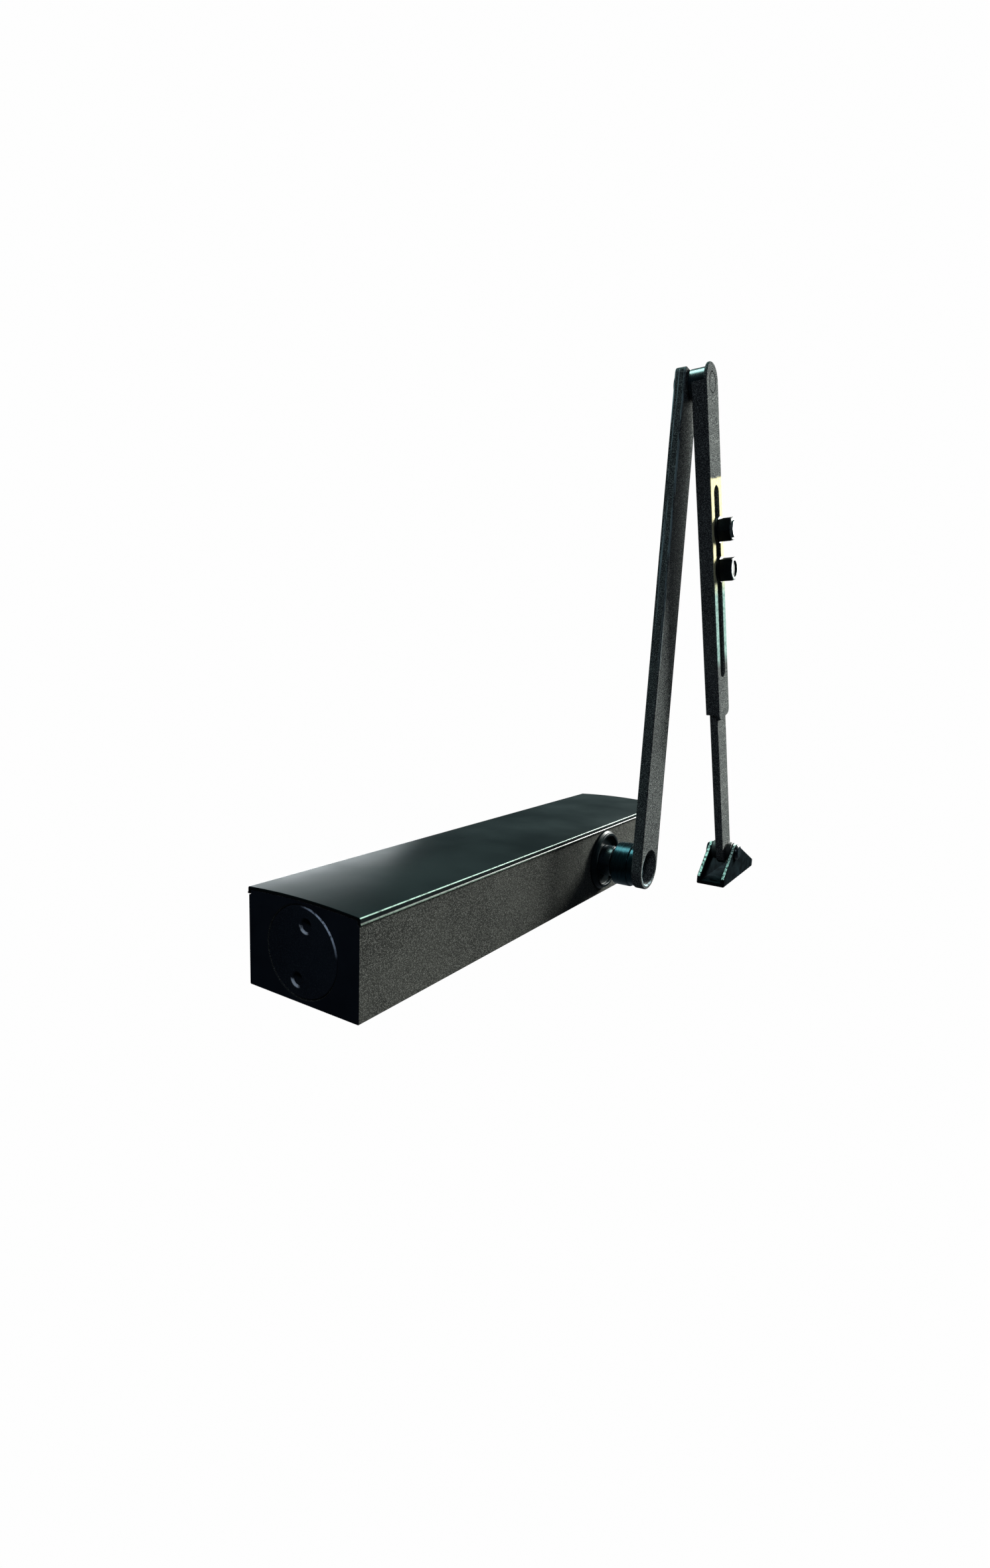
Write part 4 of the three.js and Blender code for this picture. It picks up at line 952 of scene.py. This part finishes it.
def make_main_arm():
    elbow = FOREARM.translation
    hub_end = BORE_Z - arm_low.z
    outline = arm_outline((SPINDLE_X, BORE_Z), hub_end, (elbow.x, elbow.z))
    arm = prism("main_arm_bar", outline, ARM_FRONT, ARM_BACK)
    bevel(arm, ARM_EDGE, steps=4, angle=50)
    hub_profile = rounded([
        (0, ARM_BACK - 1 * MM, 0),
        (HUB_RADIUS - HUB_NECK_DEPTH, ARM_BACK - 1 * MM, 0),
        (HUB_RADIUS - HUB_NECK_DEPTH, ARM_BACK + HUB_NECK, 0.3 * MM),
        (HUB_RADIUS, ARM_BACK + HUB_NECK + 0.2 * MM, 0.3 * MM),
        (HUB_RADIUS, HUB_BACK, 0.8 * MM),
        (0, HUB_BACK, 0),
    ])
    half = SQUARE / 2 + GAP
    square = [(-half, -half), (half, -half), (half, half), (-half, half)]
    past = 1 * MM
    pin_hole = Matrix.Translation((elbow.x, 0, elbow.z))
    join(arm, turned("hub", hub_profile, SPINDLE))
    cut(
        arm,
        drill(ARM_RECESS, ARM_FRONT, ARM_SEAT, SPINDLE, 0.5 * MM, "low"),
        prism("square_hole", square, ARM_SEAT - past, HUB_BACK + past, SPINDLE),
        drill(ARM_PIN_HOLE, ARM_FRONT - past, ARM_BACK + past, pin_hole, sides=64),
    )
    return finish(arm, "spindle", "arm_paint", make_arm_finish(), "main_arm")


def make_ring(name, node, place, bore, corners, body, slot, material, sides=ROUND):
    """A washer, bush or spacer. Its corners' radii, in mm, go round from the inner front one."""
    low, high = extent(node, place)
    across = ((bore, low.y), (high.x, low.y), (high.x, high.y), (bore, high.y))
    profile = [(u, v, radius * MM) for (u, v), radius in zip(across, corners)]
    centre = place @ Matrix.Translation((0, 0, (low.z + high.z) / 2))
    ring = turned(name, rounded(profile, closed=True), centre, sides)
    return finish(ring, body, slot, material, node)


def hexagon(radius, turn=0.0):
    return [
        (radius * math.cos(turn + math.pi * k / 3), radius * math.sin(turn + math.pi * k / 3))
        for k in range(6)
    ]


def make_arm_screw():
    low, high = extent("arm_screw", SPINDLE)
    head = high.x
    shank = SCREW_SHANK
    back = low.y + SCREW_HEAD
    profile = rounded([
        (0, low.y, 0),
        (head, low.y, 0.6 * MM),
        (head, back, 0.2 * MM),
        (shank, back, 0.2 * MM),
        (shank, high.y, 0.5 * MM),
        (0, high.y, 0),
    ])
    screw = turned("arm_screw_socket_head", profile, SPINDLE)
    cut(screw, prism("key", hexagon(SCREW_KEY), low.y - 1 * MM, low.y + 2 * MM, SPINDLE))
    return finish(screw, "spindle", "black_oxide", OXIDE, "arm_screw")


# ---------------------------------------------------------------- elbow and forearm

def make_elbow_pin():
    low, high = extent("elbow_pin", FOREARM)
    head = high.x
    shank = ELBOW_SHANK
    head_front = high.y - ELBOW_HEAD_HEIGHT
    profile = rounded([
        (0, low.y, 0),
        (shank, low.y, 0.5 * MM),
        (shank, head_front, 0.2 * MM),
        (head, head_front, 0.2 * MM),
        (head, high.y, 0.6 * MM),
        (0, high.y, 0),
    ], steps=7)
    pin = turned("elbow_pin_rivet", profile, FOREARM)
    return finish(pin, "spindle", "black_oxide", ARM_PAINT, "elbow_pin")


def make_channel_finish(face):
    """The arm's powder coat, with a painted reflection round the slot: cream above and teal below."""
    s = coat("forearm_channel_finish", ARM_COLOURS)
    elbow = FOREARM.translation
    down = s.distance(-up_forearm, elbow)
    ragged = s.math("MULTIPLY", s.noise(5 * MM, detail=4, roughness=0.65), 5 * MM)
    down = s.math("ADD", down, ragged)
    # painted reflection on the web's outer face from 49 to 154 mm below the elbow, ragged at its ends
    reflection_zone = s.all_of(s.ramp(down, 49 * MM, 50.2 * MM), s.ramp(down, 154 * MM, 146 * MM))
    outer = s.ramp(s.distance(-into_forearm, elbow), face - 0.35 * MM, face - 0.15 * MM)
    fine = s.noise(1.2 * MM, detail=3, roughness=0.6)
    upper = s.blend(s.ramp(fine, 0.35, 0.65), rgb(178, 171, 132), rgb(200, 194, 160))
    lower = s.blend(s.ramp(fine, 0.35, 0.65), rgb(82, 104, 101), rgb(132, 158, 152))
    bright = s.blend(s.ramp(down, 101 * MM, 112 * MM), upper, lower)
    s.layer(s.all_of(reflection_zone, outer), bright, s.ramp(fine, 0.3, 0.7, 0.4, 0.55))
    return s.material


def make_channel():
    low, high = extent("forearm_channel", FOREARM)
    half = high.x
    corner = 4 * MM
    front, back = low.y, high.y
    outline = (
        arc(0, 0, half, 0, math.pi, 36)
        + arc(-half + corner, low.z + corner, corner, math.pi, 1.5 * math.pi, 8)
        + arc(half - corner, low.z + corner, corner, 1.5 * math.pi, 2 * math.pi, 8)
    )
    channel = prism("forearm_channel_pressing", outline, front, back, FOREARM)
    bevel(channel, 0.9 * MM, steps=4, angle=50)
    inner = half - SHEET
    web_back = front + SHEET
    past = 2 * MM
    aside, behind, above = half + past, back + past, high.z + past
    flange_end = low.z + corner
    slot = arc(0, -SLOT_START - SLOT_HALF, SLOT_HALF, 0, math.pi, 20)
    slot += arc(0, -SLOT_END + SLOT_HALF, SLOT_HALF, math.pi, 2 * math.pi, 20)
    cut(
        channel,
        block("inside", (-inner, web_back, low.z - past), (inner, behind, above), FOREARM),
        block("past_top", (-aside, web_back, FLANGE_TOP), (aside, behind, above), FOREARM),
        block("past_end", (-aside, web_back, low.z - past), (aside, behind, flange_end), FOREARM),
        prism("slot", slot, front - past, web_back + past, FOREARM),
        drill(ELBOW_BORE, front - past, web_back + past, FOREARM, sides=64),
    )
    finish_of_web = make_channel_finish(-front)
    return finish(channel, "forearm", "arm_paint", finish_of_web, "forearm_channel")


BOLTS = {"upper": "clamp_bolt_upper", "lower": "clamp_bolt_lower"}


def station(node):
    """Distance of a clamp bolt down the forearm."""
    low, high = extent(node, FOREARM)
    return (low.z + high.z) / 2


def make_rod():
    low, high = extent("forearm_rod", FOREARM)
    half = high.x
    eye = low.z + half
    outline = [(half, high.z), (-half, high.z)] + arc(0, eye, half, math.pi, 2 * math.pi, 28)
    rod = prism("forearm_rod_bar", outline, low.y, high.y, FOREARM)
    bevel(rod, 0.6 * MM, steps=4, angle=50)
    past = 1 * MM
    hole = Matrix.Translation((0, 0, eye))
    cut(rod, drill(ROD_PIN_HOLE, low.y - past, high.y + past, FOREARM @ hole, sides=48))
    for node in BOLTS.values():
        place = FOREARM @ Matrix.Translation((0, 0, station(node)))
        cut(rod, drill(BOLT_SHANK + GAP, low.y - past, high.y + past, place, sides=48))
    return finish(rod, "rod", "arm_paint", ARM_PAINT, "forearm_rod")


def make_bolt_finish(name, centre, top):
    """Black oxide with a painted highlight round the dish of the head."""
    s = oxide(name, rgb(9, 12, 14), rgb(17, 24, 27), (0.3, 0.45), 0.0, 0.03)
    from_axis = s.radius(centre, across_forearm, up_forearm)
    # painted highlight on the ring round the dish, in patches
    crown = s.all_of(
        s.ramp(s.distance(-into_forearm, centre), top - 0.35 * MM, top - 0.2 * MM),
        s.ramp(from_axis, DISH_RADIUS - 0.7 * MM, DISH_RADIUS - 0.4 * MM),
        s.ramp(s.noise(2.4 * MM, detail=3), 0.3, 0.42),
    )
    s.layer(crown, rgb(104, 116, 114))
    return s.material


def make_clamp_bolt(which, node):
    low, high = extent(node, FOREARM)
    radius = (high.x - low.x) / 2
    flats = radius * math.cos(math.pi / 6)
    place = FOREARM @ Matrix.Translation((0, 0, (low.z + high.z) / 2))
    seat = low.y + BOLT_HEAD
    top = low.y
    head = prism(f"clamp_bolt_hex_{which}", hexagon(radius), top, seat, place)
    reach = radius + 1 * MM
    face = flats * 0.96
    chamfer = (reach - face) * math.tan(math.radians(30))
    crown_profile = [(0, top), (face, top), (reach, top + chamfer), (reach, seat), (0, seat)]
    common(head, turned("crown", crown_profile, place))
    bevel(head, 0.2 * MM, steps=2, angle=25)
    shank = [(0, seat - 1 * MM), (BOLT_SHANK, seat - 1 * MM), (BOLT_SHANK, high.y), (0, high.y)]
    join(head, turned("shank", shank, place, 48))
    dish = rounded([
        (0, top + DISH_DEPTH, 0),
        (DISH_RADIUS - 0.6 * MM, top + DISH_DEPTH, 0.4 * MM),
        (DISH_RADIUS, top, 0),
        (DISH_RADIUS, top - 1 * MM, 0),
        (0, top - 1 * MM, 0),
    ])
    cut(head, turned("dish", dish, place, 64))
    highlighted = make_bolt_finish(f"clamp_bolt_{which}_finish", place.translation, -top)
    return finish(head, "rod", "bright_steel", highlighted, node)


# ---------------------------------------------------------------- foot

def make_foot_finish(floor, ear):
    """Dull black oxide, with painted highlights along the upward-facing sloping edges of the ears."""
    s = oxide("foot_bracket_finish", rgb(10, 13, 15), rgb(19, 26, 29), (0.3, 0.45), 0.0, 0.0)
    normals = s.nodes["place"].outputs["Normal"]
    facing = s.dot(normals, (0, 0, 1))
    across = s.math("ABSOLUTE", s.distance((0, 1, 0), FOOT.translation), 0.0)
    off_middle = s.math("ABSOLUTE", s.math("SUBTRACT", across, ear), 0.0)
    # painted highlight where the ears' edges face upwards
    ear_highlight = s.all_of(
        s.ramp(facing, 0.2, 0.4),
        s.ramp(off_middle, 0.85 * MM, 0.6 * MM),
        s.ramp(s.distance((0, 0, 1)), floor + 0.3 * MM, floor + 0.8 * MM),
        s.ramp(s.noise(1.3 * MM, detail=4, roughness=0.7), 0.42, 0.54),
    )
    s.layer(ear_highlight, rgb(206, 236, 226))
    return s.material


def make_foot_bracket():
    low, high = extent("foot_bracket", FOOT)
    half = high.y
    outline = [(low.x, low.z), (high.x, low.z), (high.x, low.z + FOOT_END_HEIGHT)]
    outline += arc(0, 0, FOOT_NOSE, math.pi * 0.4, math.pi * 0.76, 16)
    outline += [(low.x, low.z + FOOT_END_HEIGHT)]
    bracket = prism("foot_bracket_pressing", outline, -half, half, FOOT)
    bevel(bracket, 0.8 * MM, steps=4, angle=25)
    inside = half - FOOT_SHEET
    floor = low.z + FOOT_SHEET
    past = 2 * MM
    nearest, furthest = (low.x - past, -inside, floor), (high.x + past, inside, FOOT_NOSE + past)
    channel = block("channel", nearest, furthest, FOOT)
    cut(bracket, channel, drill(FOOT_PIN_HOLE, -half - past, half + past, FOOT, sides=48))
    for x in (low.x + FOOT_SCREW_INSET, high.x - FOOT_SCREW_INSET):
        upright = FOOT @ Matrix.Translation((x, 0, 0)) @ Matrix.Rotation(math.pi / 2, 4, "X")
        cut(bracket, drill(FOOT_SCREW, low.z - past, floor, upright, 0.8 * MM, "high", 40))
    highlighted = make_foot_finish(FOOT.translation.z + floor, half - FOOT_SHEET / 2)
    return finish(bracket, "foot", "black_oxide", highlighted, "foot_bracket")


def make_foot_pin():
    low, high = extent("foot_pin", FOOT)
    half = -extent("foot_bracket", FOOT)[0].y + 0.1 * MM
    head, tail, shank = 4.9 * MM, 4.2 * MM, FOOT_PIN_SHANK
    profile = rounded([
        (0, low.y, 0),
        (head * 0.9, low.y, 1.5 * MM),
        (head, -half, 0),
        (shank, -half, 0),
        (shank, half, 0),
        (tail, half, 0),
        (tail * 0.9, high.y, 0.9 * MM),
        (0, high.y, 0),
    ], steps=7)
    pin = turned("foot_pin_rivet", profile, FOOT, sides=64)
    return finish(pin, "foot", "bright_steel", OXIDE, "foot_pin")


# ---------------------------------------------------------------- spring

def make_main_spring():
    """The coil between the plain plug and the piston, at one fixed length, though the real one shortens
    as the piston pushes on it.
    """
    low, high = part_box("main_spring")
    height = (low.z + high.z) / 2
    wire = SPRING_WIRE / 2
    coil = (high.z - low.z) / 2 - wire
    start, end = low.x + wire, high.x - wire
    vertices, faces = [], []
    for step in range(SPRING_STEPS + 1):
        share = step / SPRING_STEPS
        turn = 2 * math.pi * SPRING_TURNS * share
        outward = Vector((0, math.cos(turn), math.sin(turn)))
        centre = Vector((start + (end - start) * share, 0, height)) + coil * outward
        for side in range(SPRING_SIDES):
            angle = 2 * math.pi * side / SPRING_SIDES
            offset = math.cos(angle) * outward + math.sin(angle) * Vector((1, 0, 0))
            vertices.append(centre + wire * offset)
    for first in range(0, SPRING_STEPS * SPRING_SIDES, SPRING_SIDES):
        for side in range(SPRING_SIDES):
            a, b = first + side, first + (side + 1) % SPRING_SIDES
            faces.append((a, b, b + SPRING_SIDES, a + SPRING_SIDES))
    faces.append(tuple(reversed(range(SPRING_SIDES))))
    faces.append(tuple(range(len(vertices) - SPRING_SIDES, len(vertices))))
    spring = new_piece("v_main_spring", vertices, faces)
    finish(spring, "housing", "spring_steel", SPRING, "main_spring")
    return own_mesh(spring)


# ---------------------------------------------------------------- assembly

make_body()
make_cover()
make_plug("plug_plain", -1, "end_plug_plain")
make_plug("plug_valve", 1, "end_plug_valve")
make_collar("collar_ring_arm_side", -1, "collar_arm_side")
make_collar("collar_ring_cap_side", 1, "collar_cap_side")
make_spindle_cap()
make_valve("closing_valve_screw", "closing_valve", "closing_valve")
make_valve("latching_valve_screw", "latching_valve", "latching_valve")
make_spindle()
make_main_arm()
make_ring("arm_washer_disc", "arm_washer", SPINDLE, SCREW_HOLE, (0.2, 0.3, 0.2, 0.1),
          "spindle", "black_oxide", OXIDE)
make_arm_screw()
make_elbow_pin()
make_ring("elbow_bush_sleeve", "elbow_bush", FOREARM, ELBOW_BORE, (0.2, 0.4, 0.4, 0.2),
          "forearm", "black_oxide", OXIDE)
make_channel()
make_rod()
for which, node in BOLTS.items():
    make_ring(f"clamp_washer_disc_{which}", f"clamp_washer_{which}", FOREARM, BOLT_SHANK + GAP,
              (0.1, 0.35, 0.2, 0.1), "rod", "black_oxide", DULL_OXIDE)
    make_clamp_bolt(which, node)
make_foot_bracket()
make_foot_pin()
for which in ("outer", "inner"):
    make_ring(f"foot_washer_{which}", f"foot_spacer_{which}", FOOT, FOOT_PIN_HOLE,
              (0.15, 0.3, 0.3, 0.15), "foot", "nylon", NYLON, 64)
make_main_spring()

# The other inner pieces keep their CAD shapes.
SEAL_RINGS = ("piston_seal", "plug_ring_plain", "plug_ring_valve", "spindle_seal_arm_side",
              "spindle_seal_cap_side", "closing_valve_ring", "latching_valve_ring")
for material, inner_nodes in (
    (STEEL, ("rack_piston", "check_valve_ball", "check_valve_retainer")),
    (BRONZE, ("bearing_arm_side", "bearing_cap_side")),
    (RUBBER, SEAL_RINGS),
):
    for node in inner_nodes:
        mesh = NODES[node].data
        mesh.materials.clear()
        mesh.materials.append(material)
        mesh.shade_smooth()
        mesh.set_sharp_from_angle(angle=math.radians(35))

# ---------------------------------------------------------------- stage and light

FLOOR_REACH = 6.0
FLOOR_TOP = -0.7  # below the arm where it hangs straight down
WHITE = 0.99  # strength of floor and backdrop as the camera sees them
FLOOR_CORNERS = (-FLOOR_REACH, -FLOOR_REACH, FLOOR_TOP - 0.02), (FLOOR_REACH, FLOOR_REACH, FLOOR_TOP)
floor = block("floor", *FLOOR_CORNERS)


def studio(tree, output_kind, dim_kind, white_kind, colour, strength=None):
    """White to the eye, and dim in what it throws on the dark paint."""
    nodes, links = tree.nodes, tree.links
    nodes.clear()
    output = nodes.new(output_kind)
    mix = nodes.new("ShaderNodeMixShader")
    dim = nodes.new(dim_kind)
    dim.inputs["Color"].default_value = colour
    if strength is not None:
        dim.inputs["Strength"].default_value = strength
    white = nodes.new(white_kind)
    white.inputs["Color"].default_value = (1, 1, 1, 1)
    white.inputs["Strength"].default_value = WHITE
    path = nodes.new("ShaderNodeLightPath")
    links.new(path.outputs["Is Camera Ray"], mix.inputs[0])
    links.new(dim.outputs[0], mix.inputs[1])
    links.new(white.outputs[0], mix.inputs[2])
    links.new(mix.outputs[0], output.inputs[0])


floor_paint = bpy.data.materials.new("studio_floor")
floor_paint.use_nodes = True
studio(floor_paint.node_tree, "ShaderNodeOutputMaterial", "ShaderNodeBsdfDiffuse",
       "ShaderNodeEmission", (0.05, 0.055, 0.065, 1))
floor.data.materials.append(floor_paint)

world = bpy.data.worlds.new("studio")
bpy.context.scene.world = world
world.use_nodes = True
studio(world.node_tree, "ShaderNodeOutputWorld", "ShaderNodeBackground",
       "ShaderNodeBackground", (0.6, 0.78, 1.0, 1), 0.025)

FOCUS = Vector((0.03, -0.03, 0.08))


def softbox(name, direction, distance, size, power, colour):
    lamp = bpy.data.lights.new(name, "AREA")
    lamp.shape = "RECTANGLE"
    lamp.size, lamp.size_y = size
    lamp.energy = power
    lamp.color = colour
    holder = bpy.data.objects.new(name, lamp)
    bpy.context.scene.collection.objects.link(holder)
    away = Vector(direction).normalized()
    holder.location = FOCUS + away * distance
    holder.rotation_euler = (-away).to_track_quat("-Z", "Y").to_euler()
    holder.visible_camera = False
    return holder


softbox("key_right", (0.86, -0.30, 0.42), 1.3, (0.5, 0.4), 120, (0.98, 1.0, 0.95))
softbox("top_mint", (0.05, 0.25, 0.97), 1.2, (0.5, 0.5), 18, (0.62, 1.0, 0.92))
softbox("rim_cool", (-0.72, -0.31, 0.62), 1.4, (0.2, 0.2), 3, (0.75, 0.86, 1.0))
softbox("fill_behind", (0.5, 0.86, -0.14), 1.2, (0.6, 0.6), 12, (0.9, 0.97, 1.0))

# ---------------------------------------------------------------- camera

VIEW_AZIMUTH = math.radians(-57.34)
VIEW_ELEVATION = math.radians(9.17)
VIEW_ROLL = math.radians(2.16)
SENSOR = 36.0  # mm along the picture's long side
LENS = 17.19
CAMERA_POINT = Vector((-341.48, -208.38, 133.60)) * MM

back = Vector(
    (
        math.sin(VIEW_AZIMUTH) * math.cos(VIEW_ELEVATION),
        -math.cos(VIEW_AZIMUTH) * math.cos(VIEW_ELEVATION),
        math.sin(VIEW_ELEVATION),
    )
)
right = (-back).cross(Vector((0, 0, 1))).normalized()
up = right.cross(-back)
rolled_right = right * math.cos(VIEW_ROLL) + up * math.sin(VIEW_ROLL)
rolled_up = up * math.cos(VIEW_ROLL) - right * math.sin(VIEW_ROLL)
lens = bpy.data.cameras.new("camera")
lens.sensor_width = SENSOR
lens.sensor_fit = "AUTO"
lens.lens = LENS
lens.clip_start, lens.clip_end = 0.01, 30
camera = bpy.data.objects.new("camera", lens)
bpy.context.scene.collection.objects.link(camera)
camera.matrix_world = Matrix.Translation(CAMERA_POINT) @ Matrix(
    (rolled_right, rolled_up, back)
).transposed().to_4x4()
bpy.context.scene.camera = camera

bpy.context.scene.view_settings.view_transform = "Standard"
bpy.context.scene.view_settings.look = "None"
